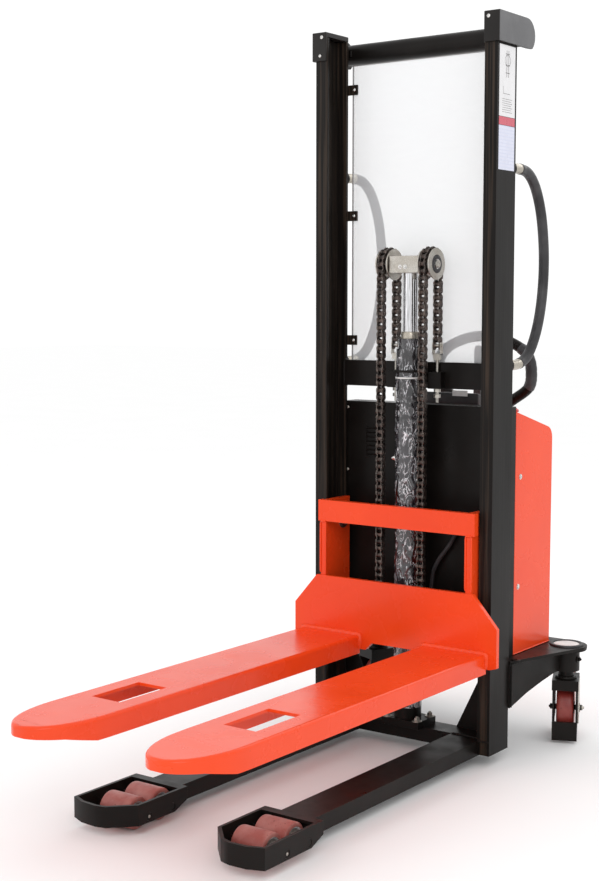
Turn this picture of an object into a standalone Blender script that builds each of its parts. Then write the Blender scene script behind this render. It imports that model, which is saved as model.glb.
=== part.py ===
"""Walkie stacker: single-stage mast, forks that nest over straddle legs, chain lift, battery power pack.

Metres, +Z up, forks towards -Y. +X is the left hand of the operator, who stands behind at +Y.
Every place below is measured from the mast's front faces (Y), the floor (Z) and the centre plane (X).
The parent empty carries that origin to the middle of the machine's length.
Blender script: it can be run from the Text editor or with blender --background --python.
"""

import math

import bmesh
import bpy
from mathutils import Matrix, Vector

# Whole machine
MAST_Y = 0.3660
GAP = 0.0003
SIDES = {"left": 1, "right": -1}

# Mast: two C channels, open towards each other
MAST_HALF = 0.2853
CHANNEL_WIDTH = 0.038
CHANNEL_DEPTH = 0.104
CHANNEL_WEB = 0.008
CHANNEL_FLANGE = 0.010
MAST_FOOT_Z = 0.032
MAST_TOP_Z = 1.966
CAP_TOP_Z = 1.980
CAP_BOTTOM_Z = 1.902
FLANGE_X = MAST_HALF - CHANNEL_WIDTH
SCREEN_TAB_Z = (1.832, 1.482, 1.132)
SCREEN_TAB_HALF_HEIGHT = 0.014
SCREEN_TAB_THICKNESS = 0.007
SCREEN_TAB_REACH = 0.034
CAP_FRONT_Y = -0.006
CAP_SIDE_X = MAST_HALF + 0.0087
SCREEN_HALF = 0.233
SCREEN_Z = (1.020, 1.900)
SCREEN_THICKNESS = 0.0042
HANDLE_X = 0.266
HANDLE_END_Z = (1.589, 1.071)
HANDLE_RADIUS = 0.014
HANDLE_FLANGE = (0.019, 0.008)
TOP_TUBE_RADIUS = 0.0285
TOP_TUBE_YZ = (0.1440, 1.9360)
CROSSBEAM_Z = (1.004, 1.076)
CROSSBEAM_Y = (0.0865, CHANNEL_DEPTH - GAP)

# Lift cylinder, ram and chains
CYLINDER_Y = 0.047
BARREL_RADIUS = 0.038
BARREL_Z = (0.0853, 1.112)
GLAND_Z = (1.1123, 1.140)
ROD_RADIUS = 0.020
ROD_Z = (0.300, 1.318)
CHAIN_X = 0.0665
CHAIN_WIDTH = 0.022
CHAIN_HEIGHT = 0.018
PULLEY_PITCH_RADIUS = 0.0385
PULLEY_RIM_RADIUS = 0.0425
PULLEY_Y = 0.0415
PULLEY_Z = 1.3415
PULLEY_HALF_WIDTH = 0.0190
YOKE_Z = (ROD_Z[1] + GAP, 1.3640)
ANCHOR_ROD_RADIUS = 0.0045
ANCHOR_LUG_Z = (1.0040, 1.0500)
ANCHOR_TOP_Z = 1.100
LUG_TOP_Z = 0.370

# Carriage and forks, at the height where they rest
CARRIAGE_BAR_Z = (0.626, 0.686)
CARRIAGE_BAR_Y = (-0.0329, -0.0130)
CARRIAGE_BAR_HALF = 0.2518
PLATE_Y = (-0.0415, -0.0275)
PLATE_TOP_Z = 0.4734
PLATE_TOP_HALF = 0.2515
PLATE_HALF = 0.3263
PLATE_SHOULDER_Z = 0.3881
PLATE_BOTTOM_Z = 0.2790
SIDE_PLATE_X = (0.2260, 0.2430)
SIDE_PLATE_FRONT_Y = CARRIAGE_BAR_Y[0] + 0.0005
SIDE_PLATE_REAR_Y = 0.0860
ROLLER_STUB_RADIUS = 0.0125
FORK_X = 0.1995
FORK_WIDTH = 0.1935
FORK_TOP_Z = 0.3190
FORK_DEPTH = 0.0520
FORK_WALL = 0.0050
FORK_TOP_THICKNESS = 0.0080
FORK_TIP_Y = -1.2280
FORK_NOSE_LENGTH = 0.1900
FORK_NOSE_POWER = 2.05
FORK_NOSE_STEPS = 11
FORK_RISE_Y = -1.0780
FORK_HOLE_Y = (-0.9537, -0.7919)
FORK_HOLE_WIDTH = 0.0887
ROLLER_Y = 0.052
GUIDE_ROLLER_Z = (0.400, 0.620)
GUIDE_ROLLER_RADIUS = 0.041

# Straddle legs with tandem load rollers
LEG_X = 0.2000
LEG_TUBE_X = (0.1515, FLANGE_X - GAP)
LEG_TUBE_Z = (0.027, 0.067)
LEG_BOX_X = (0.1185, 0.2853)
LEG_BOX_Z = (0.025, 0.0755)
LEG_NOSE_Y = -0.9950
LEG_BOX_REAR_Y = -0.7600
LEG_BULKHEAD = 0.0160
LEG_WALL = 0.008
LEG_WINDOW_REAR_Y = -0.7850
LOAD_ROLLER_Y = (-0.8970, -0.8150)
LOAD_ROLLER_RADIUS = 0.0390
LOAD_ROLLER_HALF_WIDTH = 0.0450
LOAD_AXLE_RADIUS = 0.0100
BEAM_Y = (0.0300, CHANNEL_DEPTH - GAP)

# Rear: frame plate, casters, covers, power pack and tiller
FRAME_Z = (0.2640, 0.2720)
CASTER_X = 0.3200
CASTER_Y = 0.3800
CASTER_YAW = math.radians(24)
CASTER_TRAIL = 0.0400
CASTER_RADIUS = 0.0800
CASTER_WHEEL_HALF = 0.0250
CASTER_HEAD_Z = 0.2000
COVER_HALF = 0.2620
COVER_Y = (0.1705, 0.3860)
COVER_TOP_Z = 0.9440
COVER_SHEET = 0.0030
ROOF_SLOPE = -0.047 / 0.172
REAR_BEND_RADIUS = 0.0350
PANEL_Z = (0.2725, 0.9580)
STOP_BUTTON_XY = (0.2150, 0.2350)
CONSOLE_HALF = 0.1300
CONSOLE_Y = (0.1950, 0.2900)
CONSOLE_TOP_Z = (0.9880, 0.9640)
PACK_SHELF_Z = 0.5303
TILLER_PIVOT = (0.0, 0.4180, 0.3200)
TILLER_Y = 0.4560
TILLER_TUBE_RADIUS = 0.0160
TILLER_PIN_RADIUS = 0.0080


def paint(name, colour, roughness, metallic=0.0):
    material = bpy.data.materials.new(name)
    material.use_nodes = True
    shader = material.node_tree.nodes["Principled BSDF"]
    shader.inputs["Base Color"].default_value = (*colour, 1.0)
    shader.inputs["Roughness"].default_value = roughness
    shader.inputs["Metallic"].default_value = metallic
    return material


# Shapes. Each returns a bmesh of one closed body.


def prism(outline, axis, low, high):
    """An outline extruded along an axis. The outline's numbers are the other two axes, in X, Y, Z order."""
    shape = bmesh.new()
    place = {
        "X": lambda a, b, c: (c, a, b),
        "Y": lambda a, b, c: (a, c, b),
        "Z": lambda a, b, c: (a, b, c),
    }[axis]
    bottom = [shape.verts.new(place(a, b, low)) for a, b in outline]
    top = [shape.verts.new(place(a, b, high)) for a, b in outline]
    shape.faces.new(bottom)
    shape.faces.new(top)
    for i in range(len(outline)):
        j = (i + 1) % len(outline)
        shape.faces.new((bottom[i], bottom[j], top[j], top[i]))
    bmesh.ops.recalc_face_normals(shape, faces=shape.faces)
    return shape


def slab(x, y, z):
    return prism([(x[0], y[0]), (x[1], y[0]), (x[1], y[1]), (x[0], y[1])], "Z", *z)


def cylinder(axis, centre, radius, low, high, sides=24):
    """A round bar along an axis. centre holds the other two axes, in X, Y, Z order."""
    turn = [2 * math.pi * (i + 0.5) / sides for i in range(sides)]
    ring = [(centre[0] + radius * math.cos(t), centre[1] + radius * math.sin(t)) for t in turn]
    return prism(ring, axis, low, high)


def turned(profile, axis, centre, sides=32):
    """A profile of (radius, along) pairs, closed, turned round an axis through centre."""
    shape = bmesh.new()
    rings = []
    for i in range(sides):
        angle = 2 * math.pi * i / sides
        c, s = math.cos(angle), math.sin(angle)
        if axis == "X":
            ring = [(a + centre[0], r * c + centre[1], r * s + centre[2]) for r, a in profile]
        else:
            ring = [(r * c + centre[0], r * s + centre[1], a + centre[2]) for r, a in profile]
        rings.append([shape.verts.new(point) for point in ring])
    for i in range(sides):
        here, after = rings[i], rings[(i + 1) % sides]
        for j in range(len(profile)):
            k = (j + 1) % len(profile)
            shape.faces.new((here[j], here[k], after[k], after[j]))
    bmesh.ops.recalc_face_normals(shape, faces=shape.faces)
    return shape


def swept(points, radius, sides=12):
    """A round bar along points that lie in one plane square to an axis, with flat ends."""
    shape = bmesh.new()
    points = [Vector(point) for point in points]
    normal = (points[1] - points[0]).cross(points[len(points) // 2] - points[0]).normalized()
    rings = []
    for i, point in enumerate(points):
        ahead = points[min(i + 1, len(points) - 1)]
        behind = points[max(i - 1, 0)]
        across = (ahead - behind).normalized().cross(normal)
        turn = [2 * math.pi * j / sides for j in range(sides)]
        ring = [point + radius * (math.cos(t) * across + math.sin(t) * normal) for t in turn]
        rings.append([shape.verts.new(corner) for corner in ring])
    for here, after in zip(rings, rings[1:]):
        for j in range(sides):
            k = (j + 1) % sides
            shape.faces.new((here[j], here[k], after[k], after[j]))
    shape.faces.new(rings[0])
    shape.faces.new(rings[-1])
    bmesh.ops.recalc_face_normals(shape, faces=shape.faces)
    return shape


def moved(shape, matrix):
    bmesh.ops.transform(shape, matrix=matrix, verts=shape.verts)
    bmesh.ops.recalc_face_normals(shape, faces=shape.faces)
    return shape


def arc(centre, radius, start, end, steps):
    """Points on an arc, from start to end in degrees, both ends included."""
    turn = [math.radians(start + (end - start) * i / steps) for i in range(steps + 1)]
    return [(centre[0] + radius * math.cos(t), centre[1] + radius * math.sin(t)) for t in turn]


def mirrored(outline, side):
    return [(side * x, y) for x, y in outline]


def span(x, side):
    """A range of X on the left side, or its mirror image on the right."""
    return (x[0], x[1]) if side > 0 else (-x[1], -x[0])


# Objects


def mesh_object(name, shape, origin=(0, 0, 0)):
    mesh = bpy.data.meshes.new(name)
    bmesh.ops.translate(shape, verts=shape.verts, vec=-Vector(origin))
    shape.to_mesh(mesh)
    shape.free()
    made = bpy.data.objects.new(name, mesh)
    made.location = origin
    made.parent = machine
    bpy.context.scene.collection.objects.link(made)
    return made


def piece(name, shape, material, add=(), cut=(), bevel=None, origin=(0, 0, 0)):
    """One sub-part: a shape, others joined to it or cut from it, and a bevel of (width, segments) if any."""
    made = mesh_object(name, shape, origin)
    made.data.materials.append(material)
    for operation, shapes in (("UNION", add), ("DIFFERENCE", cut)):
        for number, other in enumerate(shapes):
            helper = mesh_object(f"{name}_{operation.lower()}_{number}", other)
            helper.hide_render = True
            helper.display_type = "WIRE"
            boolean = made.modifiers.new(helper.name, "BOOLEAN")
            boolean.operation = operation
            boolean.solver = "EXACT"
            boolean.object = helper
    if bevel:
        edge = made.modifiers.new("edge", "BEVEL")
        edge.width, edge.segments = bevel
        edge.limit_method = "ANGLE"
        edge.angle_limit = math.radians(50)
    made.data.shade_smooth()
    made.data.set_sharp_from_angle(angle=math.radians(32))
    return made


def tube(name, points, radius, material, origin=(0, 0, 0), sides=3):
    """A bent round tube along points, as a filled curve."""
    curve = bpy.data.curves.new(name, "CURVE")
    curve.dimensions = "3D"
    curve.bevel_depth = radius
    curve.bevel_resolution = sides
    curve.use_fill_caps = True
    spline = curve.splines.new("POLY")
    spline.points.add(len(points) - 1)
    for point, place in zip(spline.points, points):
        point.co = (*(Vector(place) - Vector(origin)), 1.0)
    curve.materials.append(material)
    made = bpy.data.objects.new(name, curve)
    made.location = origin
    made.parent = machine
    bpy.context.scene.collection.objects.link(made)
    return made


def smooth_route(knots, steps):
    """Points on a Catmull-Rom curve through the knots."""
    knots = [Vector(knot) for knot in knots]
    knots = [2 * knots[0] - knots[1], *knots, 2 * knots[-1] - knots[-2]]
    route = []
    for before, start, end, after in zip(knots, knots[1:], knots[2:], knots[3:]):
        for i in range(steps):
            t = i / steps
            bend = (2 * before - 5 * start + 4 * end - after) * t * t
            twist = (3 * start - before - 3 * end + after) * t**3
            route.append(0.5 * (2 * start + (end - before) * t + bend + twist))
    return [*route, knots[-2]]


# Mast


def build_upright(side, word):
    outer, inner, rear = MAST_HALF, FLANGE_X, CHANNEL_DEPTH
    web = MAST_HALF - CHANNEL_WEB
    outline = [
        (outer, 0),
        (outer, rear),
        (inner, rear),
        (inner, rear - CHANNEL_FLANGE),
        (web, rear - CHANNEL_FLANGE),
        (web, CHANNEL_FLANGE),
        (inner, CHANNEL_FLANGE),
        (inner, 0),
    ]
    tab_x = span((inner - SCREEN_TAB_REACH, inner + 0.004), side)
    tab_y = (rear - SCREEN_TAB_THICKNESS, rear)
    half = SCREEN_TAB_HALF_HEIGHT
    tabs = [slab(tab_x, tab_y, (z - half, z + half)) for z in SCREEN_TAB_Z]
    shape = prism(mirrored(outline, side), "Z", MAST_FOOT_Z, MAST_TOP_Z)
    piece(f"upright_{word}", shape, BLACK, add=tabs)


def build_mast_cap(side, word):
    y, z = TOP_TUBE_YZ
    lobe = arc((y, z), CAP_TOP_Z - z, 90, -48, 8)
    outline = [(CAP_FRONT_Y, CAP_TOP_Z), *lobe, (0.150, CAP_BOTTOM_Z), (CAP_FRONT_Y, CAP_BOTTOM_Z)]
    side_plate = prism(outline, "X", *span((MAST_HALF + GAP, CAP_SIDE_X), side))
    across = span((FLANGE_X, MAST_HALF + 0.004), side)
    lid = slab(across, (CAP_FRONT_Y, CHANNEL_DEPTH), (MAST_TOP_Z + GAP, CAP_TOP_Z))
    lip = slab(across, (CAP_FRONT_Y, -GAP), (CAP_BOTTOM_Z, CAP_TOP_Z))
    piece(f"mast_cap_{word}", side_plate, BLACK, add=[lid, lip])


def build_mast_links():
    half = MAST_HALF
    piece("top_tube", cylinder("X", TOP_TUBE_YZ, TOP_TUBE_RADIUS, -half, half, 32), BLACK)
    half = FLANGE_X - GAP
    # The chain anchors' rods pass through lugs welded to the crossbeam's front.
    y = PULLEY_Y + PULLEY_PITCH_RADIUS
    lugs, holes = [], []
    for side in SIDES.values():
        x = side * CHAIN_X
        lugs.append(slab((x - 0.020, x + 0.020), (y - 0.016, CROSSBEAM_Y[0] + 0.002), ANCHOR_LUG_Z))
        holes.append(cylinder("Z", (x, y), ANCHOR_ROD_RADIUS + GAP, 0.95, 1.10, 16))
    piece("crossbeam", slab((-half, half), CROSSBEAM_Y, CROSSBEAM_Z), BLACK, lugs, holes)
    front = CHANNEL_DEPTH + GAP
    screen = slab((-SCREEN_HALF, SCREEN_HALF), (front, front + SCREEN_THICKNESS), SCREEN_Z)
    piece("guard_screen", screen, CLEAR)


def build_chain_anchor(side, word):
    x = side * CHAIN_X
    y = PULLEY_Y + PULLEY_PITCH_RADIUS
    rod = cylinder("Z", (x, y), ANCHOR_ROD_RADIUS, 0.966, ANCHOR_TOP_Z, 16)
    nut_tops = (ANCHOR_LUG_Z[0] - GAP, ANCHOR_LUG_Z[0] - 0.016)
    nuts = [cylinder("Z", (x, y), 0.0095, z - 0.009, z, 6) for z in nut_tops]
    head_z = (ANCHOR_TOP_Z - 0.018, ANCHOR_TOP_Z)
    head = slab((x - 0.009, x + 0.009), (y - 0.008, y + 0.006), head_z)
    piece(f"chain_anchor_{word}", rod, STEEL, add=[*nuts, head])


def build_grab_handle(side, word):
    x = side * HANDLE_X
    y = CHANNEL_DEPTH + GAP
    top, bottom = HANDLE_END_Z
    knots = [
        (x, y + 0.004, top),
        (x, 0.160, 1.592),
        (x, 0.212, 1.583),
        (x, 0.256, 1.545),
        (x, 0.290, 1.476),
        (x, 0.308, 1.385),
        (x, 0.308, 1.300),
        (x, 0.293, 1.217),
        (x, 0.265, 1.149),
        (x, 0.224, 1.097),
        (x, 0.172, 1.074),
        (x, y + 0.004, bottom),
    ]
    radius, thickness = HANDLE_FLANGE
    flanges = [cylinder("Y", (x, z), radius, y, y + thickness, 20) for z in HANDLE_END_Z]
    bar = swept(smooth_route(knots, 2), HANDLE_RADIUS, 10)
    piece(f"grab_handle_{word}", bar, RUBBER, add=flanges)


# Lift cylinder, ram, chains


def build_cylinder():
    y = CYLINDER_Y
    low, high = BARREL_Z
    bore = cylinder("Z", (0, y), ROD_RADIUS + 0.002, low + 0.05, high + 0.01, 24)
    wall_y = y + BARREL_RADIUS
    port = cylinder("Y", (0.0, low + 0.030), 0.010, wall_y - 0.005, wall_y + 0.012, 12)
    barrel = cylinder("Z", (0, y), BARREL_RADIUS, low, high, 32)
    piece("cylinder_barrel", barrel, BLACK, [port], [bore])
    low, high = GLAND_Z
    rod, outer = ROD_RADIUS + GAP, 0.033
    profile = [(rod, low), (outer, low), (outer, high - 0.004), (outer - 0.004, high), (rod, high)]
    piece("cylinder_gland", turned(profile, "Z", (0, y, 0)), BLACK)


def build_ram():
    top = (0, CYLINDER_Y, ROD_Z[1])
    piece("piston_rod", cylinder("Z", (0, CYLINDER_Y), ROD_RADIUS, *ROD_Z, 32), CHROME, origin=top)
    body = slab((-0.045, 0.045), (0.008, 0.076), YOKE_Z)
    axle = cylinder("X", (PULLEY_Y, PULLEY_Z), 0.010, -0.092, 0.092, 20)
    piece("pulley_yoke", body, STEEL, [axle], origin=top)


def build_pulley(side, word):
    """A flanged wheel that the chain rolls over: its groove floor carries the chain's rollers."""
    x = side * CHAIN_X
    w, rim = PULLEY_HALF_WIDTH, PULLEY_RIM_RADIUS
    floor = PULLEY_PITCH_RADIUS - 0.0065
    bore = 0.0103
    profile = [(bore, -w), (rim, -w), (rim, -w + 0.004), (floor, -w + 0.006)]
    profile += [(floor, w - 0.006), (rim, w - 0.004), (rim, w), (bore, w)]
    centre = (x, PULLEY_Y, PULLEY_Z)
    piece(f"chain_pulley_{word}", turned(profile, "X", centre, 28), STEEL, origin=centre)


def build_chains(side, word):
    x, half = side * CHAIN_X, CHAIN_WIDTH / 2
    for run, y, low in (("front", -1, LUG_TOP_Z), ("rear", 1, ANCHOR_TOP_Z)):
        middle = PULLEY_Y + y * PULLEY_PITCH_RADIUS
        deep = (middle - CHAIN_HEIGHT / 2, middle + CHAIN_HEIGHT / 2)
        # The run ends level with the pulley's axle, where the chain starts to bend round the wheel.
        shape = slab((x - half, x + half), deep, (low + GAP, PULLEY_Z))
        rim = cylinder("X", (PULLEY_Y, PULLEY_Z), PULLEY_RIM_RADIUS + GAP, x - 0.03, x + 0.03, 36)
        piece(f"chain_{run}_{word}", shape, CHAIN_STEEL, cut=[rim])


# Carriage, forks and guide rollers


def build_carriage():
    bar_half, top = CARRIAGE_BAR_HALF, CARRIAGE_BAR_Z[1]
    half_outline = [
        (PLATE_TOP_HALF, PLATE_TOP_Z),
        (PLATE_HALF, PLATE_SHOULDER_Z),
        (PLATE_HALF, PLATE_BOTTOM_Z + 0.006),
        (PLATE_HALF - 0.020, PLATE_BOTTOM_Z),
        (0.2580, PLATE_BOTTOM_Z),
        (0.2580, 0.3080),
        (0.1400, 0.3080),
        (0.1400, PLATE_BOTTOM_Z),
        (0.0850, PLATE_BOTTOM_Z),
        (0.0720, 0.2920),
        (0.0640, 0.3000),
    ]
    outline = half_outline + [(-x, z) for x, z in reversed(half_outline)]
    plate = prism(outline, "Y", *PLATE_Y)
    parts = [slab((-bar_half, bar_half), CARRIAGE_BAR_Y, CARRIAGE_BAR_Z)]
    for side in SIDES.values():
        low, high = SIDE_PLATE_FRONT_Y, SIDE_PLATE_REAR_Y
        frame = [(low, 0.3200), (high, 0.3400), (high, top), (low, top)]
        parts.append(prism(frame, "X", *span(SIDE_PLATE_X, side)))
        lug_x = side * CHAIN_X
        lug_y = (PLATE_Y[1] - 0.001, 0.0140)
        parts.append(slab((lug_x - 0.018, lug_x + 0.018), lug_y, (0.330, LUG_TOP_Z)))
        for z in GUIDE_ROLLER_Z:
            stub = span((SIDE_PLATE_X[0] + 0.004, 0.2762), side)
            parts.append(cylinder("X", (ROLLER_Y, z), ROLLER_STUB_RADIUS, *stub, 20))
    piece("carriage", plate, ORANGE, add=parts)


def fork_outline(inset):
    """The fork seen from above, about its own middle: parallel sides and a blunt rounded tip."""
    half = FORK_WIDTH / 2 - inset
    depth = FORK_NOSE_LENGTH - inset
    shoulder = FORK_TIP_Y + FORK_NOSE_LENGTH
    edge = [(half, PLATE_Y[0] - GAP)]
    for i in range(FORK_NOSE_STEPS):
        turn = math.pi / 2 * i / FORK_NOSE_STEPS
        x = half * math.cos(turn) ** (2 / FORK_NOSE_POWER)
        y = shoulder - depth * math.sin(turn) ** (2 / FORK_NOSE_POWER)
        edge.append((x, y))
    return edge + [(-x, y) for x, y in reversed(edge)]


def build_fork(side, word):
    x = side * FORK_X
    outline = [(x + a, b) for a, b in fork_outline(0)]
    inner = [(x + a, b) for a, b in fork_outline(FORK_WALL)]
    top, low = FORK_TOP_Z, FORK_TOP_Z - FORK_DEPTH
    hollow = prism(inner, "Z", low - 0.01, top - FORK_TOP_THICKNESS)
    # The walls rise towards the tip, so that it slides into a pallet.
    rise = [(FORK_RISE_Y, low), (-1.160, low + 0.018), (-1.240, low + 0.026)]
    rise += [(-1.240, low - 0.02), (FORK_RISE_Y, low - 0.02)]
    ramp = prism(rise, "X", x - 0.12, x + 0.12)
    half = FORK_HOLE_WIDTH / 2
    hole = slab((x - half, x + half), FORK_HOLE_Y, (low, top + 0.01))
    piece(f"fork_{word}", prism(outline, "Z", low, top), ORANGE, cut=[hollow, ramp, hole])


def build_guide_roller(side, word, level, z):
    x = span((0.2495, 0.2755), side)
    centre = ((x[0] + x[1]) / 2, ROLLER_Y, z)
    half = (x[1] - x[0]) / 2
    r, bore = GUIDE_ROLLER_RADIUS, ROLLER_STUB_RADIUS + GAP
    profile = [(bore, -half), (r - 0.002, -half), (r, -half + 0.002)]
    profile += [(r, half - 0.002), (r - 0.002, half), (bore, half)]
    name = f"guide_roller_{level}_{word}"
    piece(name, turned(profile, "X", centre, 24), STEEL, origin=centre)


# Legs


def build_base():
    half = FLANGE_X - GAP
    beam = slab((-half, half), BEAM_Y, LEG_TUBE_Z)
    foot = slab((-0.060, 0.060), (0.006, 0.098), (LEG_TUBE_Z[1] - 0.002, BARREL_Z[0] - GAP))
    gussets = []
    for side in SIDES.values():
        low = LEG_TUBE_Z[1] - 0.001
        corner = [(0.128, low), (half, low), (half, 0.300), (half - 0.006, 0.300)]
        gussets.append(prism(mirrored(corner, side), "Y", BEAM_Y[1] - 0.008, BEAM_Y[1]))
    piece("base_beam", beam, BLACK, add=[foot, *gussets])


def build_leg(side, word):
    inner, outer = LEG_BOX_X
    low, high = LEG_BOX_Z
    wall = LEG_WALL
    outline = [
        (inner, LEG_BOX_REAR_Y),
        (inner, LEG_NOSE_Y + 0.062),
        (inner + 0.054, LEG_NOSE_Y + 0.007),
        (inner + 0.082, LEG_NOSE_Y),
        (inner + 0.128, LEG_NOSE_Y + 0.003),
        (outer, LEG_NOSE_Y + 0.019),
        (outer, LEG_BOX_REAR_Y),
    ]
    pocket = [
        (inner + wall, LEG_WINDOW_REAR_Y),
        (inner + wall, LEG_NOSE_Y + 0.066),
        (inner + 0.058, LEG_NOSE_Y + 0.015),
        (inner + 0.083, LEG_NOSE_Y + wall),
        (inner + 0.126, LEG_NOSE_Y + 0.011),
        (outer - wall, LEG_NOSE_Y + 0.025),
        (outer - wall, LEG_WINDOW_REAR_Y),
    ]
    inside = span((inner + wall, outer - wall), side)
    # The box's underside rises towards its rear end.
    end = LEG_BOX_REAR_Y + GAP
    underside = [(-0.806, low), (end, 0.044), (end, 0.0), (-0.806, 0.0)]
    bulkhead_y = LEG_BOX_REAR_Y - LEG_BULKHEAD
    cuts = [
        prism(mirrored(pocket, side), "Z", low - 0.01, high + 0.01),
        slab(inside, (LEG_WINDOW_REAR_Y - 0.02, bulkhead_y), (low - 0.01, high - 0.007)),
        prism(underside, "X", -0.4, 0.4),
    ]
    for y in LOAD_ROLLER_Y:
        cuts.append(cylinder("X", (y, LOAD_ROLLER_RADIUS), LOAD_AXLE_RADIUS + GAP, -0.4, 0.4, 16))
    hollow_x = span((LEG_TUBE_X[0] + 0.005, LEG_TUBE_X[1] - 0.005), side)
    hollow_z = (LEG_TUBE_Z[0] + 0.005, LEG_TUBE_Z[1] - 0.005)
    cuts.append(slab(hollow_x, (LEG_BOX_REAR_Y + 0.02, 0.05), hollow_z))
    beam = slab(span(LEG_TUBE_X, side), (bulkhead_y + 0.004, BEAM_Y[0] - GAP), LEG_TUBE_Z)
    piece(f"leg_{word}", prism(mirrored(outline, side), "Z", low, high), BLACK, [beam], cuts)


def build_load_rollers(side, word):
    for place, y in zip(("front", "rear"), LOAD_ROLLER_Y):
        ends = span((LEG_BOX_X[0] + 0.001, LEG_BOX_X[1] - 0.001), side)
        axle = cylinder("X", (y, LOAD_ROLLER_RADIUS), LOAD_AXLE_RADIUS, *ends, 16)
        piece(f"load_axle_{place}_{word}", axle, STEEL)
        centre = (side * LEG_X, y, LOAD_ROLLER_RADIUS)
        half, r, bore = LOAD_ROLLER_HALF_WIDTH, LOAD_ROLLER_RADIUS, LOAD_AXLE_RADIUS + GAP
        profile = [(bore, -half), (r - 0.003, -half), (r, -half + 0.003)]
        profile += [(r, half - 0.003), (r - 0.003, half), (bore, half)]
        piece(f"load_roller_{place}_{word}", turned(profile, "X", centre, 28), RED_PU, origin=centre)


# Rear end


def build_rear_frame():
    low, high = FRAME_Z
    front = CHANNEL_DEPTH + GAP
    rear = CASTER_Y + 0.058
    lobe = arc((CASTER_X, CASTER_Y), 0.058, -12, 90, 8)
    half_outline = [(0.0, front), (0.2900, front), *lobe]
    outline = half_outline + [(-x, y) for x, y in reversed(half_outline[1:])]
    plate = prism(outline, "Z", low, high)
    parts = [slab((-0.10, 0.10), (rear - 0.012, rear), (0.235, low + 0.002))]
    bores = []
    for side in SIDES.values():
        x = side * CASTER_X
        parts.append(cylinder("Z", (x, CASTER_Y), 0.0570, high - 0.012, high, 32))
        parts.append(cylinder("Z", (x, CASTER_Y), 0.0380, CASTER_HEAD_Z, high - 0.004, 28))
        web_outline = [
            (0.0, 0.142),
            (0.080, 0.170),
            (0.150, 0.188),
            (0.215, 0.202),
            (0.250, 0.202),
            (0.250, high - 0.002),
            (0.0, high - 0.002),
        ]
        web = prism(web_outline, "X", -0.006, 0.0)
        lean = -side * math.atan2(0.030, 0.250)
        foot = Vector((side * 0.2895, front, 0))
        if side < 0:
            web = moved(web, Matrix.Translation((0.006, 0, 0)))
        parts.append(moved(web, Matrix.Translation(foot) @ Matrix.Rotation(lean, 4, "Z")))
        bores.append(cylinder("Z", (x, CASTER_Y), 0.0126, CASTER_HEAD_Z - 0.01, high - 0.014, 20))
    piece("rear_frame", plate, BLACK, add=parts, cut=bores)


def caster_matrix(side):
    """From the caster's own frame (X outwards, -Y leading, swivel axis at X = Y = 0) to the machine's."""
    place = Matrix.Translation((side * CASTER_X, CASTER_Y, 0))
    return place @ Matrix.Rotation(side * CASTER_YAW, 4, "Z")


def build_caster(side, word):
    here = caster_matrix(side)
    hub = Vector((0, CASTER_TRAIL, CASTER_RADIUS))
    axis = (side * CASTER_X, CASTER_Y, CASTER_HEAD_Z)
    top = 0.1690

    def local(shape):
        return moved(shape, here)

    crown = slab((-0.037, 0.037), (-0.046, 0.060), (top, top + 0.008))
    neck = cylinder("Z", (0, 0), 0.0220, top + 0.006, CASTER_HEAD_Z - GAP, 24)
    stem = cylinder("Z", (0, 0), 0.0120, CASTER_HEAD_Z - 0.002, FRAME_Z[1] - 0.016, 20)
    apron = slab((-0.037, 0.037), (-0.046, -0.036), (0.148, top + 0.002))
    guard_front, guard_low = -0.058, 0.008
    cheek = [(-0.046, top + 0.004), (-0.046, 0.150), (-0.050, 0.062)]
    cheek += [(guard_front, 0.058), (guard_front, guard_low), (-0.046, guard_low)]
    cheek += [(0.018, 0.056), (0.062, 0.056), (0.070, 0.100), (0.060, top + 0.004)]
    cheeks = [prism(cheek, "X", *span((0.0300, 0.0350), way)) for way in (1, -1)]
    guard = slab((-0.035, 0.035), (guard_front, guard_front + 0.010), (guard_low, 0.060))
    pin = cylinder("X", (CASTER_TRAIL, CASTER_RADIUS), 0.0080, -0.045, 0.045, 16)
    shapes = [neck, stem, apron, *cheeks, guard, pin]
    piece(f"caster_fork_{word}", local(crown), BLACK, [local(s) for s in shapes], origin=axis)

    half, r, bore = CASTER_WHEEL_HALF, CASTER_RADIUS, 0.0083
    profile = [(bore, -half), (0.018, -half), (r - 0.016, -half + 0.005)]
    profile += [(r - 0.004, -half), (r, -half + 0.005)]
    profile += [(radius, -along) for radius, along in reversed(profile)]
    wheel = turned(profile, "X", hub, 32)
    piece(f"caster_wheel_{word}", local(wheel), RED_PU, origin=here @ hub)

    hinge = Vector((0, 0.0660, 0.1670))
    tread = [(0.0610, 0.1655), (0.1050, 0.1600), (0.1085, 0.1640)]
    tread += [(0.1050, 0.1680), (0.0800, 0.1695), (0.0610, 0.1690)]
    pedal = prism(tread, "X", -0.026, 0.026)
    piece(f"brake_pedal_{word}", local(pedal), RUBBER, origin=here @ hinge)


def cover_section(inset):
    """The cover seen from the side: a roof that falls to the rear and a rounded rear edge."""
    top, rear = COVER_TOP_Z - inset, COVER_Y[1] - inset
    bend_y = rear - REAR_BEND_RADIUS + 0.001
    bend_z = top + ROOF_SLOPE * (bend_y - COVER_Y[0]) - REAR_BEND_RADIUS - 0.001
    bend = arc((bend_y, bend_z), REAR_BEND_RADIUS, 75, 0, 5)
    return [(COVER_Y[0], COVER_TOP_Z - inset), *bend]


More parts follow.
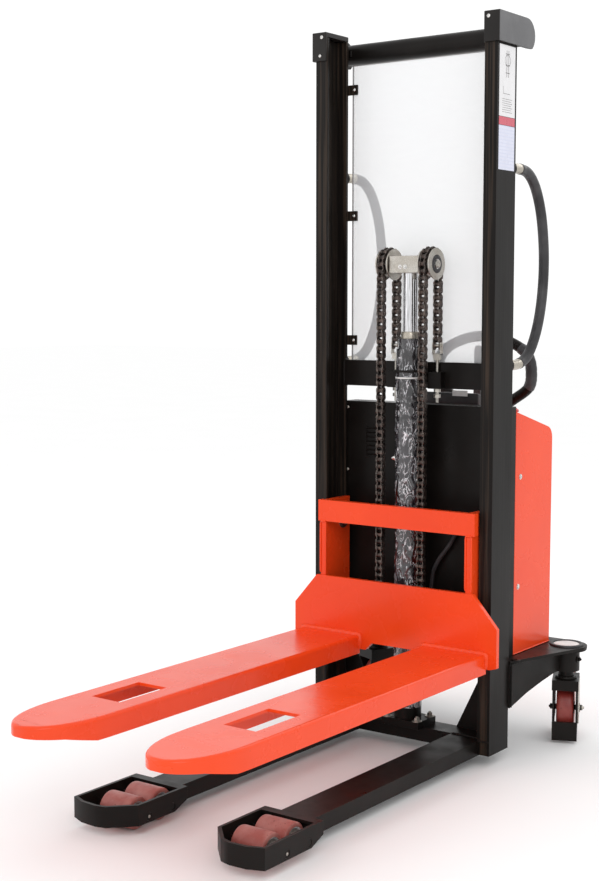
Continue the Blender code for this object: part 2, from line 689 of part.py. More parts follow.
def build_covers():
    low = FRAME_Z[1] + GAP
    outline = [*cover_section(0), (COVER_Y[1], low), (COVER_Y[0], low)]
    sheet = COVER_SHEET
    front = COVER_Y[0] - 0.01
    hollow = [(front, COVER_TOP_Z - sheet), *cover_section(sheet)[1:]]
    hollow += [(COVER_Y[1] - sheet, low - 0.01), (front, low - 0.01)]
    half = COVER_HALF
    shell = prism(outline, "X", -half, half)
    inside = prism(hollow, "X", -half + sheet, half - sheet)
    button_hole = cylinder("Z", STOP_BUTTON_XY, 0.0125, 0.85, 1.0, 20)
    piece("rear_cover", shell, ORANGE, cut=[inside, button_hole])

    y, rear = CHANNEL_DEPTH + 0.0050, COVER_Y[0] - GAP
    tray = slab((-half, half), (y, rear), PANEL_Z)
    inside_z = (PANEL_Z[0] - 0.01, PANEL_Z[1] - sheet)
    inside = slab((-half + sheet, half - sheet), (y + sheet, rear + 0.01), inside_z)
    piece("back_panel", tray, BLACK, cut=[inside])


def build_console():
    front, rear = CONSOLE_Y

    def roof(y):
        return COVER_TOP_Z + GAP + ROOF_SLOPE * (y - COVER_Y[0]) + 0.0015

    outline = [(front, roof(front)), (rear, roof(rear)), (rear, CONSOLE_TOP_Z[1]), (front, CONSOLE_TOP_Z[0])]
    piece("control_console", prism(outline, "X", -CONSOLE_HALF, CONSOLE_HALF), DARK_PLASTIC)
    x, y = STOP_BUTTON_XY
    head, stem, seat = 0.0190, 0.0110, roof(y) + 0.0035
    profile = [(0.0001, -0.018), (stem, -0.018), (stem, 0.006), (head - 0.003, 0.006)]
    profile += [(head, 0.008), (head - 0.002, 0.013), (head - 0.008, 0.017), (0.0001, 0.018)]
    piece("stop_button", turned(profile, "Z", (x, y, seat), 20), RED_PLASTIC, origin=(x, y, seat))
    x, y, z = -0.080, 0.243, 0.9788
    profile = [(0.0001, 0.0), (0.011, 0.0), (0.011, 0.004), (0.0001, 0.004)]
    blade = slab((x - 0.002, x + 0.002), (y - 0.009, y + 0.009), (z + 0.003, z + 0.024))
    piece("key_switch", turned(profile, "Z", (x, y, z), 16), STEEL, add=[blade], origin=(x, y, z))


def build_power_pack():
    low = FRAME_Z[1] + GAP
    battery = slab((-0.205, 0.205), (0.192, 0.366), (low, 0.5000))
    piece("battery", battery, DARK_PLASTIC, bevel=(0.006, 2))
    shelf = PACK_SHELF_Z
    block = slab((-0.190, -0.090), (0.220, 0.320), (shelf, 0.600))
    piece("pump_block", block, ALUMINIUM, bevel=(0.004, 2))
    motor = cylinder("Z", (-0.140, 0.270), 0.055, 0.6003, 0.7600, 32)
    piece("pump_motor", motor, BLACK, [cylinder("Z", (-0.140, 0.270), 0.030, 0.758, 0.775, 20)])
    tank = slab((-0.080, 0.200), (0.215, 0.335), (shelf, 0.780))
    piece("oil_tank", tank, STEEL, bevel=(0.012, 3))


def build_hose():
    knots = [
        (0.1240, 0.0985, 0.6320),
        (0.1200, 0.0975, 0.6080),
        (0.1000, 0.0960, 0.5720),
        (0.0700, 0.0940, 0.5320),
        (0.0520, 0.0930, 0.4950),
        (0.0460, 0.0925, 0.4500),
        (0.0440, 0.0925, 0.3600),
        (0.0400, 0.0930, 0.2400),
        (0.0250, 0.0955, 0.1600),
        (0.0080, 0.0970, 0.1250),
    ]
    tube("hydraulic_hose", smooth_route(knots, 3), 0.0060, RUBBER, sides=2)


def loop_section():
    """The tiller's loop seen from behind: half of a rounded handle, from its crown down to the stem."""
    return [
        (0.0, 1.1410),
        (0.0500, 1.1350),
        (0.1000, 1.1180),
        (0.1360, 1.0950),
        (0.1530, 1.0650),
        (0.1570, 1.0250),
        (0.1520, 0.9980),
        (0.1360, 0.9800),
        (0.1000, 0.9560),
        (0.0560, 0.9270),
        (0.0262, 0.9080),
    ]


def build_tiller():
    origin = TILLER_PIVOT
    y, z = TILLER_PIVOT[1:]
    half = smooth_route([(a, TILLER_Y, b) for a, b in loop_section()], 2)
    right = [Vector((-point.x, point.y, point.z)) for point in reversed(half)]
    piece("tiller_loop", swept([*right[:-1], *half], TILLER_TUBE_RADIUS, 10), RUBBER, origin=origin)
    boss = cylinder("X", (y, z), 0.0220, -0.0300, 0.0300, 28)
    wide, behind = 0.0165, TILLER_Y + 0.017
    stem = slab((-wide, wide), (TILLER_Y - 0.017, behind), (z + 0.030, 0.9360))
    shin = [(y - 0.016, z), (y + 0.010, z - 0.012), (behind, z + 0.020), (behind, z + 0.060)]
    shin.append((TILLER_Y - 0.016, z + 0.060))
    knee = prism(shin, "X", -0.0160, 0.0160)
    bore = cylinder("X", (y, z), TILLER_PIN_RADIUS + GAP, -0.05, 0.05, 16)
    lever = (-0.0200, TILLER_Y, 0.9480)
    lug = slab((-0.0065, 0.0085), (TILLER_Y - 0.008, TILLER_Y + 0.008), (0.930, 0.957))
    lever_pin = cylinder("X", lever[1:], 0.0030, -0.034, 0.0, 12)
    piece("tiller_stem", boss, BLACK, [knee, stem, lug, lever_pin], [bore], origin=origin)
    blade = [(-0.0320, 0.9380), (-0.0070, 0.9380), (-0.0090, 1.1000), (-0.0140, 1.1120)]
    blade += [(-0.0250, 1.1120), (-0.0300, 1.1000)]
    bar = prism(blade, "Y", TILLER_Y - 0.0070, TILLER_Y + 0.0070)
    eye = cylinder("X", lever[1:], 0.0033, -0.04, 0.0, 12)
    piece("lowering_lever", bar, DARK_PLASTIC, cut=[eye], bevel=(0.002, 2), origin=lever)
    foot_y, foot_z = (y - 0.030, y + 0.020), FRAME_Z[1] + GAP
    cheek = [(foot_y[0], foot_z), (foot_y[1], foot_z), (foot_y[1], z), (y + 0.010, z + 0.020)]
    cheek += [(y - 0.012, z + 0.020), (foot_y[0], z)]
    base = slab((-0.046, 0.046), foot_y, (foot_z, FRAME_Z[1] + 0.008))
    cheeks = [prism(cheek, "X", *span((0.0310, 0.0390), way)) for way in (1, -1)]
    pin = cylinder("X", (y, z), TILLER_PIN_RADIUS, -0.044, 0.044, 16)
    piece("tiller_bracket", base, BLACK, [*cheeks, pin])


def main():
    build_mast_links()
    build_cylinder()
    build_ram()
    build_carriage()
    build_base()
    build_rear_frame()
    build_covers()
    build_console()
    build_power_pack()
    build_hose()
    build_tiller()
    for word, side in SIDES.items():
        build_upright(side, word)
        build_mast_cap(side, word)
        build_chain_anchor(side, word)
        build_grab_handle(side, word)
        build_pulley(side, word)
        build_chains(side, word)
        build_fork(side, word)
        for level, z in zip(("lower", "upper"), GUIDE_ROLLER_Z):
            build_guide_roller(side, word, level, z)
        build_leg(side, word)
        build_load_rollers(side, word)
        build_caster(side, word)


for old in list(bpy.data.objects):
    bpy.data.objects.remove(old, do_unlink=True)

BLACK = paint("black_paint", (0.020, 0.017, 0.015), 0.35)
ORANGE = paint("orange_paint", (0.800, 0.070, 0.020), 0.30)
STEEL = paint("zinc_steel", (0.55, 0.53, 0.50), 0.35, 1.0)
CHROME = paint("chrome", (0.80, 0.80, 0.82), 0.08, 1.0)
CHAIN_STEEL = paint("chain_steel", (0.06, 0.05, 0.045), 0.45, 1.0)
CLEAR = paint("clear_sheet", (0.90, 0.91, 0.92), 0.05)
RUBBER = paint("black_rubber", (0.030, 0.030, 0.035), 0.60)
RED_PU = paint("red_polyurethane", (0.42, 0.045, 0.035), 0.45)
DARK_PLASTIC = paint("dark_plastic", (0.030, 0.030, 0.032), 0.50)
RED_PLASTIC = paint("red_plastic", (0.60, 0.02, 0.02), 0.30)
ALUMINIUM = paint("cast_aluminium", (0.60, 0.60, 0.61), 0.40, 1.0)

machine = bpy.data.objects.new("mast_front", None)
machine.location = (0, MAST_Y, 0)
bpy.context.scene.collection.objects.link(machine)
main()
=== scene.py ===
"""Walkie stacker: the looks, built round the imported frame.

Metres, +Z up, forks towards -Y, +X is the operator's left. Places are given from the mast's front faces (Y),
the floor (Z) and the centre plane (X); at() turns them into the frame's own coordinates.
"""

import math

import bmesh
import bpy
from mathutils import Matrix, Vector, noise


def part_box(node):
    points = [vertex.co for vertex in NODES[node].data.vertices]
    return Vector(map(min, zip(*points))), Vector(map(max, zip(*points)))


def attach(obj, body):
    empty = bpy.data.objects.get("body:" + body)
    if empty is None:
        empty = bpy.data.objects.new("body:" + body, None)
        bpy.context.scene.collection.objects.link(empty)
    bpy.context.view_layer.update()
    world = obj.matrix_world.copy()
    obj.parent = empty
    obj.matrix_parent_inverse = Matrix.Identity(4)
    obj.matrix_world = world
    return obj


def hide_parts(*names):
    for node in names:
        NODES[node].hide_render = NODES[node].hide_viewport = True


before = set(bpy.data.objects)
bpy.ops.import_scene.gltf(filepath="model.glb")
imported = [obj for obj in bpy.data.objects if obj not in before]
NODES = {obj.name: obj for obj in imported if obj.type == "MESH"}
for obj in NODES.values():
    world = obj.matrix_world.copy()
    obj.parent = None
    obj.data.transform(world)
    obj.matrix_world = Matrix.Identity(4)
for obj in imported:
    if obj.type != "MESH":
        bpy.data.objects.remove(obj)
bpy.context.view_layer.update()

SIDES = {"left": 1, "right": -1}
MAST_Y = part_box("upright_left")[0].y
MAST_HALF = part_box("upright_left")[1].x
MAST_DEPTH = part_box("upright_left")[1].y - MAST_Y

# Lift chain
CHAIN_X = (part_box("chain_pulley_left")[0].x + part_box("chain_pulley_left")[1].x) / 2
PULLEY_Z = (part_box("chain_pulley_left")[0].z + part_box("chain_pulley_left")[1].z) / 2
PULLEY_Y = (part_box("chain_pulley_left")[0].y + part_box("chain_pulley_left")[1].y) / 2 - MAST_Y
PULLEY_PITCH_RADIUS = 0.0385
LINK_PITCH = 0.01905
LINK_HEIGHT = 0.0180
ROLLER_RADIUS = 0.0071
PIN_HALF = 0.0112
RAM_TRAVEL = (-0.116, 0.6415)
LUG_TOP_Z = 0.370
ANCHOR_TOP_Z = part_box("chain_anchor_left")[1].z

CYLINDER_Y = (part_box("piston_rod")[0].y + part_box("piston_rod")[1].y) / 2 - MAST_Y

# Casters: each turns about a vertical axis, and stands at rest a little turned
CASTER_X, CASTER_Y = 0.3200, 0.3800
CASTER_YAW = math.radians(24)
CASTER_TRAIL = 0.0400
CASTER_RADIUS = 0.0800

CAP_SIDE_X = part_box("mast_cap_left")[1].x
FORK_X = 0.1995
FORK_TOP_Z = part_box("fork_left")[1].z
COVER_SLOPE = -0.047 / 0.172


def at(x, y, z):
    """A place given from the mast's front faces, in the frame's coordinates."""
    return Vector((x, y + MAST_Y, z))


# Materials. Each is one Principled shader with its detail worked out by nodes in the object's own space.


def add_node(tree, kind, inputs=(), **settings):
    """A node with its settings. Each of its inputs is given a socket to link from, or a value."""
    made = tree.nodes.new(kind)
    for name, value in settings.items():
        setattr(made, name, value)
    for name, value in dict(inputs).items():
        if isinstance(value, bpy.types.NodeSocket):
            tree.links.new(value, made.inputs[name])
        else:
            made.inputs[name].default_value = value
    return made


def shade(colour, factor):
    return tuple(min(1, part * factor) for part in colour)


class Look:
    """A material being made, with short calls for the procedural detail in it."""

    def __init__(self, name, colour, roughness, metallic=0.0, **sockets):
        self.material = bpy.data.materials.new(name)
        self.material.use_nodes = True
        self.tree = self.material.node_tree
        self.shader = self.tree.nodes["Principled BSDF"]
        self.place = self.add("TexCoord").outputs["Object"]
        self.socket("Base Color").default_value = (*colour, 1.0)
        self.socket("Roughness").default_value = roughness
        self.socket("Metallic").default_value = metallic
        for socket, value in sockets.items():
            self.socket(socket.replace("_", " ")).default_value = value

    def socket(self, name):
        return self.shader.inputs[name]

    def add(self, kind, inputs=(), **settings):
        return add_node(self.tree, "ShaderNode" + kind, inputs, **settings)

    def noise(self, scale, detail=3.0, stretch=(1, 1, 1), distortion=0.0):
        """Noise between 0 and 1. The scale is in cells a metre, and stretch multiplies it along each axis."""
        place = self.add("Mapping", {"Vector": self.place, "Scale": stretch}).outputs["Vector"]
        inputs = {"Vector": place, "Scale": scale, "Detail": detail, "Distortion": distortion}
        return self.add("TexNoise", inputs).outputs["Fac"]

    def range(self, value, low, high, to_low=0.0, to_high=1.0):
        inputs = {"Value": value, "From Min": low, "From Max": high, "To Min": to_low, "To Max": to_high}
        return self.add("MapRange", inputs).outputs["Result"]

    def math(self, operation, *values, clamp=False):
        return self.add("Math", enumerate(values), operation=operation, use_clamp=clamp).outputs["Value"]

    def both(self, first, second):
        return self.math("MULTIPLY", first, second, clamp=True)

    def mix(self, factor, first, second):
        inputs = {"Factor": factor}
        for name, value in (("A", first), ("B", second)):
            inputs[name] = value if isinstance(value, bpy.types.NodeSocket) else (*value, 1.0)
        return self.add("Mix", inputs, data_type="RGBA").outputs["Result"]

    def coordinate(self, axis):
        return self.add("SeparateXYZ", {"Vector": self.place}).outputs[axis]

    def edges(self, radius, softness=0.35):
        """Near 1 on the outer edges of the shape, from how far a rounded normal leans from the real one."""
        rounded_normal = self.add("Bevel", {"Radius": radius}, samples=6).outputs["Normal"]
        real = self.add("NewGeometry").outputs["Normal"]
        lean = self.add("VectorMath", {0: rounded_normal, 1: real}, operation="DOT_PRODUCT")
        return self.range(lean.outputs["Value"], 0.985, 0.985 - softness)

    def colour(self, value):
        self.tree.links.new(value, self.socket("Base Color"))

    def roughness(self, value):
        self.tree.links.new(value, self.socket("Roughness"))

    def bumps(self, *layers):
        """Layers of (height, strength, depth in metres), laid one on another."""
        normal = None
        for height, strength, depth in layers:
            made = self.add("Bump", {"Height": height, "Strength": strength, "Distance": depth})
            if normal:
                self.tree.links.new(normal, made.inputs["Normal"])
            normal = made.outputs["Normal"]
        self.tree.links.new(normal, self.socket("Normal"))


def black_paint():
    """Satin black enamel with a brown cast, thin on the edges and dusty in places."""
    look = Look("black_enamel", (0.008, 0.007, 0.006), 0.36, Specular_IOR_Level=0.13)
    broad = look.range(look.noise(5, 4), 0.35, 0.70)
    fine = look.noise(380, 2)
    base = look.mix(broad, (0.0060, 0.0048, 0.0042), (0.0125, 0.0102, 0.0090))
    worn = look.both(look.edges(0.0016), look.range(look.noise(60, 4), 0.42, 0.62))
    look.colour(look.mix(worn, base, (0.060, 0.052, 0.046)))
    look.roughness(look.range(look.noise(14, 5), 0.30, 0.75, 0.27, 0.46))
    look.bumps((fine, 0.10, 0.0004), (look.noise(1500, 1), 0.05, 0.0002))
    return look.material


def channel_paint():
    """The same enamel on the mast, with brown grease drawn up and down inside the channels."""
    look = Look("mast_enamel", (0.008, 0.007, 0.006), 0.36, Specular_IOR_Level=0.12)
    broad = look.range(look.noise(4, 4, (1, 1, 0.4)), 0.35, 0.70)
    base = look.mix(broad, (0.0060, 0.0050, 0.0044), (0.0130, 0.0106, 0.0094))
    worn = look.both(look.edges(0.0016), look.range(look.noise(45, 4, (1, 1, 0.2)), 0.40, 0.62))
    base = look.mix(worn, base, (0.064, 0.055, 0.048))
    across = look.math("ABSOLUTE", look.coordinate("X"))
    inside = look.range(across, MAST_HALF - 0.0076, MAST_HALF - 0.0084)
    streaks = look.range(look.noise(160, 3, (1, 1, 0.016)), 0.44, 0.62)
    grease = look.both(inside, streaks)
    look.colour(look.mix(grease, base, (0.038, 0.027, 0.020)))
    rough = look.range(look.noise(14, 5, (1, 1, 0.3)), 0.30, 0.75, 0.28, 0.45)
    look.roughness(look.add("Mix", {"Factor": grease, "A": rough, "B": 0.20}).outputs["Result"])
    look.bumps((look.noise(380, 2), 0.10, 0.0004), (streaks, 0.08, 0.0006))
    return look.material


def cap_paint():
    """The mast caps: black enamel, with a painted grey highlight on their outer faces for the light they catch."""
    look = Look("cap_enamel", (0.010, 0.009, 0.008), 0.38, Specular_IOR_Level=0.24)
    across = look.math("ABSOLUTE", look.coordinate("X"))
    outside = look.range(across, CAP_SIDE_X - 0.0016, CAP_SIDE_X - 0.0002)
    broad, fine = (look.range(look.noise(scale, 4), 0.35, 0.70) for scale in (9, 12))
    black = look.mix(broad, (0.0070, 0.0058, 0.0052), (0.0140, 0.0118, 0.0105))
    # Painted highlight: the outer faces are mixed to grey for the reflection they show; the caps are black all over.
    painted_sheen_grey = look.mix(fine, (0.105, 0.105, 0.109), (0.140, 0.139, 0.143))
    look.colour(look.mix(outside, black, painted_sheen_grey))
    look.roughness(look.range(look.noise(14, 5), 0.30, 0.75, 0.32, 0.50))
    look.bumps((look.noise(380, 2), 0.10, 0.0004))
    return look.material


def orange_paint():
    """Gloss orange-red enamel: orange peel, a faint unevenness of colour and paler edges."""
    gloss = {"Specular_IOR_Level": 0.25, "Coat_Weight": 0.15, "Coat_Roughness": 0.12}
    look = Look("orange_enamel", (0.68, 0.045, 0.009), 0.30, **gloss)
    broad = look.range(look.noise(3.2, 4), 0.30, 0.72)
    base = look.mix(broad, (0.780, 0.050, 0.006), (0.860, 0.066, 0.010))
    worn = look.both(look.edges(0.0020), look.range(look.noise(35, 3), 0.25, 0.65))
    base = look.mix(look.both(worn, 0.35), base, (0.800, 0.130, 0.060))
    specks = look.range(look.noise(210, 2), 0.765, 0.790)
    look.colour(look.mix(specks, base, (0.30, 0.030, 0.010)))
    look.roughness(look.range(look.noise(9, 5), 0.30, 0.75, 0.20, 0.34))
    look.bumps((look.noise(260, 2), 0.14, 0.0005), (look.noise(12, 3), 0.10, 0.0012))
    return look.material


def metal(name, colour, roughness, brushed=(1, 1, 1), stain=(0.30, 0.25, 0.19), stained=0.45):
    """Plated or machined steel, with drawn lines along one axis, dull patches and patches of grime."""
    look = Look(name, colour, roughness, 1.0)
    lines = look.noise(420, 3, brushed)
    cloud = look.range(look.noise(28, 5), 0.42, 0.72)
    dark = shade(colour, 0.62)
    base = look.mix(look.range(lines, 0.35, 0.65), dark, colour)
    look.colour(look.mix(look.both(cloud, stained), base, stain))
    look.roughness(look.range(look.noise(70, 4), 0.30, 0.70, roughness * 0.75, min(1.0, roughness * 1.5)))
    look.bumps((lines, 0.10, 0.0002), (look.noise(900, 2), 0.06, 0.0002))
    return look.material


def chain_steel():
    look = Look("oiled_chain", (0.055, 0.047, 0.042), 0.34, 0.85)
    worn = look.both(look.edges(0.0012, 0.25), look.range(look.noise(220, 3), 0.35, 0.60))
    oily = look.mix(look.range(look.noise(90, 4), 0.38, 0.66), (0.034, 0.028, 0.026), (0.105, 0.075, 0.064))
    look.colour(look.mix(worn, oily, (0.46, 0.42, 0.38)))
    look.roughness(look.range(look.noise(130, 3), 0.30, 0.70, 0.22, 0.50))
    look.bumps((look.noise(650, 3), 0.18, 0.0003))
    return look.material


def clear_sheet():
    """The guard sheet: a slightly milky clear plastic with faint wipe marks."""
    look = Look("clear_guard_sheet", (0.80, 0.81, 0.825), 0.16, Specular_IOR_Level=0.2)
    wiped = look.range(look.noise(6, 5, (1, 1, 3), 1.5), 0.35, 0.75, 0.335, 0.347)
    look.tree.links.new(wiped, look.socket("Alpha"))
    look.roughness(look.range(look.noise(25, 4), 0.30, 0.70, 0.07, 0.18))
    look.bumps((look.noise(3, 1), 0.01, 0.0002))
    return look.material


def film():
    """Clear packing film drawn tight round the black barrel: dark and very glossy, with painted white highlights
    along its creases.
    """
    look = Look("packing_film", (0.030, 0.028, 0.032), 0.12, Coat_Weight=1.0, Coat_Roughness=0.05)
    creases = look.noise(52, 4, (1, 1, 0.38), 1.8)
    ridge = look.math("ABSOLUTE", look.math("SUBTRACT", creases, 0.5))
    # Painted highlight: the crease ridges, broken up by noise, are coloured near white for the glints they catch.
    lines = look.range(ridge, 0.030, 0.004)
    haze = look.range(look.noise(18, 3, (1, 1, 0.5)), 0.40, 0.75)
    base = look.mix(haze, (0.006, 0.005, 0.007), (0.034, 0.031, 0.037))
    painted_crease_highlights = look.both(lines, look.range(look.noise(38, 3), 0.40, 0.56))
    look.colour(look.mix(painted_crease_highlights, base, (0.82, 0.82, 0.86)))
    look.roughness(look.range(look.noise(60, 4), 0.30, 0.70, 0.05, 0.26))
    look.bumps((creases, 0.55, 0.0050), (look.noise(120, 3, (1, 1, 0.5), 1.2), 0.35, 0.0020))
    return look.material


def rubber():
    look = Look("black_rubber", (0.028, 0.027, 0.029), 0.52, Specular_IOR_Level=0.45)
    dusty = look.range(look.noise(16, 5), 0.42, 0.72)
    look.colour(look.mix(dusty, (0.020, 0.019, 0.021), (0.052, 0.050, 0.053)))
    look.roughness(look.range(look.noise(40, 4), 0.30, 0.70, 0.42, 0.62))
    look.bumps((look.noise(700, 2), 0.22, 0.0003))
    return look.material


def polyurethane(name, colour, scuff, shine):
    """Cast polyurethane, scuffed and dusty where it runs on the floor."""
    look = Look(name, colour, shine, Specular_IOR_Level=0.45)
    rubbed = look.range(look.noise(26, 5), 0.38, 0.68)
    base = look.mix(rubbed, colour, scuff)
    nicks = look.range(look.noise(170, 3), 0.66, 0.72)
    look.colour(look.mix(nicks, base, shade(colour, 0.45)))
    look.roughness(look.range(look.noise(55, 4), 0.30, 0.70, shine * 0.8, shine * 1.3))
    look.bumps((look.noise(240, 3), 0.16, 0.0005))
    return look.material


def plastic(name, colour, roughness, grain=900, depth=0.0003):
    """Moulded plastic with a fine grain."""
    look = Look(name, colour, roughness)
    broad = look.range(look.noise(20, 4), 0.35, 0.70)
    look.colour(look.mix(broad, shade(colour, 0.85), shade(colour, 1.15)))
    look.roughness(look.range(look.noise(60, 3), 0.30, 0.70, roughness * 0.85, roughness * 1.2))
    look.bumps((look.noise(grain, 2), 0.18, depth))
    return look.material


def paper(name, colour, print_colour, rows=0.0):
    """A blank glossy sticker. Its rows of pale bars, if any, stand for a layout: nothing is written."""
    look = Look(name, colour, 0.30, Coat_Weight=0.25)
    base = look.mix(look.range(look.noise(30, 3), 0.35, 0.70), colour, shade(colour, 0.93))
    if rows:
        wave = look.math("PINGPONG", look.math("MULTIPLY", look.coordinate("Z"), rows), 1.0)
        base = look.mix(look.range(wave, 0.62, 0.72), base, print_colour)
    look.colour(base)
    look.roughness(look.range(look.noise(50, 2), 0.30, 0.70, 0.24, 0.38))
    look.bumps((look.noise(400, 2), 0.05, 0.0002))
    return look.material


LOOKS = {
    "black_paint": black_paint(),
    "orange_paint": orange_paint(),
    "zinc_steel": metal("zinc_plate", (0.62, 0.59, 0.54), 0.34),
    "chrome": metal("chrome_rod", (0.82, 0.82, 0.84), 0.08, (1, 1, 0.05), (0.55, 0.54, 0.54), 0.20),
    "chain_steel": chain_steel(),
    "clear_sheet": clear_sheet(),
    "black_rubber": rubber(),
    "red_polyurethane": polyurethane(
        "roller_polyurethane", (0.330, 0.088, 0.072), (0.420, 0.175, 0.150), 0.42
    ),
    "dark_plastic": plastic("dark_plastic_case", (0.032, 0.031, 0.033), 0.46),
    "red_plastic": plastic("red_button_plastic", (0.560, 0.020, 0.016), 0.28),
    "cast_aluminium": metal("cast_aluminium_face", (0.58, 0.58, 0.59), 0.42, stained=0.2),
    # The rest are not the frame's own materials. SLOTS says which of those each one varies.
    "mast_paint": channel_paint(),
    "film": film(),
    "caster_tyre": polyurethane("caster_polyurethane", (0.230, 0.022, 0.017), (0.300, 0.060, 0.048), 0.34),
    "bright_steel": metal("bright_band", (0.86, 0.85, 0.83), 0.22, stained=0.1),
    "grey_plastic": plastic("grey_panel_plastic", (0.190, 0.180, 0.178), 0.50),
    "gauge_window": plastic("gauge_window", (0.060, 0.075, 0.070), 0.12),
    "pale_plastic": plastic("pale_cap_plastic", (0.760, 0.755, 0.740), 0.36),
    "white_label": paper("blank_label", (0.740, 0.735, 0.745), (0.560, 0.575, 0.640)),
    "pale_label": paper("blank_pale_label", (0.650, 0.665, 0.790), (0.580, 0.605, 0.740), rows=230.0),
    "red_label": paper("plain_red_strip", (0.560, 0.070, 0.110), (0.500, 0.030, 0.050)),
    "dull_steel": metal("dull_sleeve", (0.54, 0.50, 0.43), 0.34, stained=0.3),
    "cap_paint": cap_paint(),
}
SLOTS = {
    "film": "black_paint",
    "caster_tyre": "red_polyurethane",
    "bright_steel": "zinc_steel",
    "grey_plastic": "clear_sheet",
    "gauge_window": "dark_plastic",
    "pale_plastic": "zinc_steel",
    "white_label": "clear_sheet",
    "pale_label": "clear_sheet",
    "red_label": "clear_sheet",
    "dull_steel": "zinc_steel",
}


# Shapes. Each call adds to a bmesh, so that one piece can hold many small parts of one kind.


def frame_along(direction):
    """A matrix whose Z points along direction."""
    return Vector(direction).to_track_quat("Z", "Y").to_matrix().to_4x4()


def turned(shape, profile, place, direction=(0, 0, 1), sides=32):
    """A profile of (radius, along) pairs turned round an axis. Points on the axis close its ends."""
    matrix = Matrix.Translation(Vector(place)) @ frame_along(direction)
    rings = []
    for radius, along in profile:
        if radius < 1e-6:
            rings.append([shape.verts.new(matrix @ Vector((0, 0, along)))])
            continue
        turn = [2 * math.pi * i / sides for i in range(sides)]
        ring = [matrix @ Vector((radius * math.cos(t), radius * math.sin(t), along)) for t in turn]
        rings.append([shape.verts.new(point) for point in ring])
    for here, after in zip(rings, rings[1:]):
        for i in range(sides):
            j = (i + 1) % sides
            corners = [here[i % len(here)], here[j % len(here)], after[j % len(after)], after[i % len(after)]]
            unique = list(dict.fromkeys(corners))
            if len(unique) > 2:
                shape.faces.new(unique)
    return shape


def ring(shape, profile, place, direction=(0, 0, 1), sides=32):
    """A closed profile turned round an axis, such as a tyre or a washer."""
    return turned(shape, [*profile, profile[0]], place, direction, sides)


def box(shape, low, high, matrix=None):
    matrix = matrix or Matrix.Identity(4)
    corners = [
        Vector((x, y, z)) for z in (low[2], high[2]) for y in (low[1], high[1]) for x in (low[0], high[0])
    ]
    v = [shape.verts.new(matrix @ corner) for corner in corners]
    for face in ((0, 2, 3, 1), (4, 5, 7, 6), (0, 1, 5, 4), (2, 6, 7, 3), (0, 4, 6, 2), (1, 3, 7, 5)):
        shape.faces.new([v[i] for i in face])
    return shape


def plate(shape, outline, low, high, matrix):
    """An outline in the matrix's XY plane, made solid from low to high along its Z."""
    bottom = [shape.verts.new(matrix @ Vector((x, y, low))) for x, y in outline]
    top = [shape.verts.new(matrix @ Vector((x, y, high))) for x, y in outline]
    shape.faces.new(bottom)
    shape.faces.new(top)
    for i in range(len(outline)):
        j = (i + 1) % len(outline)
        shape.faces.new((bottom[i], bottom[j], top[j], top[i]))
    return shape


def sweep(shape, points, radius, sides=16, caps=True):
    """A round bar along points. The radius is a number, or a function of the point's place along the bar."""
    points = [Vector(point) for point in points]
    thickness = radius if callable(radius) else lambda share: radius
    ahead = (points[1] - points[0]).normalized()
    across = ahead.orthogonal().normalized()
    rings = []
    for i, point in enumerate(points):
        here = (points[min(i + 1, len(points) - 1)] - points[max(i - 1, 0)]).normalized()
        across = (ahead.rotation_difference(here) @ across).normalized()
        ahead = here
        up = here.cross(across)
        r = thickness(i / (len(points) - 1))
        turn = [2 * math.pi * j / sides for j in range(sides)]
        rings.append([shape.verts.new(point + r * (math.cos(t) * across + math.sin(t) * up)) for t in turn])
    for here, after in zip(rings, rings[1:]):
        for j in range(sides):
            k = (j + 1) % sides
            shape.faces.new((here[j], here[k], after[k], after[j]))
    if caps:
        shape.faces.new(rings[0])
        shape.faces.new(rings[-1])
    return shape


def smooth_route(knots, steps):
    """Points on a Catmull-Rom curve through the knots."""
    knots = [Vector(knot) for knot in knots]
    knots = [2 * knots[0] - knots[1], *knots, 2 * knots[-1] - knots[-2]]
    route = []
    for before, start, end, after in zip(knots, knots[1:], knots[2:], knots[3:]):
        for i in range(steps):
            t = i / steps
            bend = (2 * before - 5 * start + 4 * end - after) * t * t
            twist = (3 * start - before - 3 * end + after) * t**3
            route.append(0.5 * (2 * start + (end - before) * t + bend + twist))
    return [*route, knots[-2]]


def along_line(start, end, spacing):
    """Points from start to end, a spacing apart."""
    start, end = Vector(start), Vector(end)
    steps = max(2, round((end - start).length / spacing))
    return [start.lerp(end, i / steps) for i in range(steps + 1)]


def circle(x, y, z, radius, steps):
    """Points round a circle that lies square to X, from its rear and back to it."""
    turn = [2 * math.pi * i / steps for i in range(steps + 1)]
    return [at(x, y + radius * math.cos(t), z + radius * math.sin(t)) for t in turn]


def weld_bead(shape, radius, *corners):
    """A weld bead along straight runs between corners, given as for at(), with the ripples of its puddles."""
    corners = [at(*corner) for corner in corners]
    route = []
    for start, end in zip(corners, corners[1:]):
        route += along_line(start, end, radius * 0.35)[:-1]
    route.append(corners[-1])
    count = len(route)

    def ripple(share):
        puddle = 0.5 + 0.5 * math.cos(share * count * 0.9)
        ends = min(1.0, 0.55 + 8 * min(share, 1 - share))
        return radius * ends * (
            0.86 + 0.14 * puddle + 0.08 * noise.noise(Vector((share * count * 0.13, radius, 0)))
        )

    return sweep(shape, route, ripple, 8)


def hex_bolt(shape, place, direction, size):
    """A hexagon head, size across its flats, on a washer, with its chamfer and the end of its thread."""
    ring(
        shape, [(size * 0.25, 0), (size * 1.02, 0), (size * 1.02, size * 0.14), (size * 0.25, size * 0.16)],
        place, direction, 24
    )
    corner = size / math.sqrt(3)
    lift = size * 0.14
    head = [
        (0, lift), (corner, lift), (corner, lift + size * 0.52), (corner * 0.86, lift + size * 0.60),
        (0, lift + size * 0.60)
    ]
    turned(shape, head, place, direction, 6)
    end = [(0, lift + size * 0.50), (size * 0.27, lift + size * 0.50), (size * 0.27, lift + size * 0.82)]
    turned(shape, [*end, (size * 0.20, lift + size * 0.88), (0, lift + size * 0.88)], place, direction, 16)


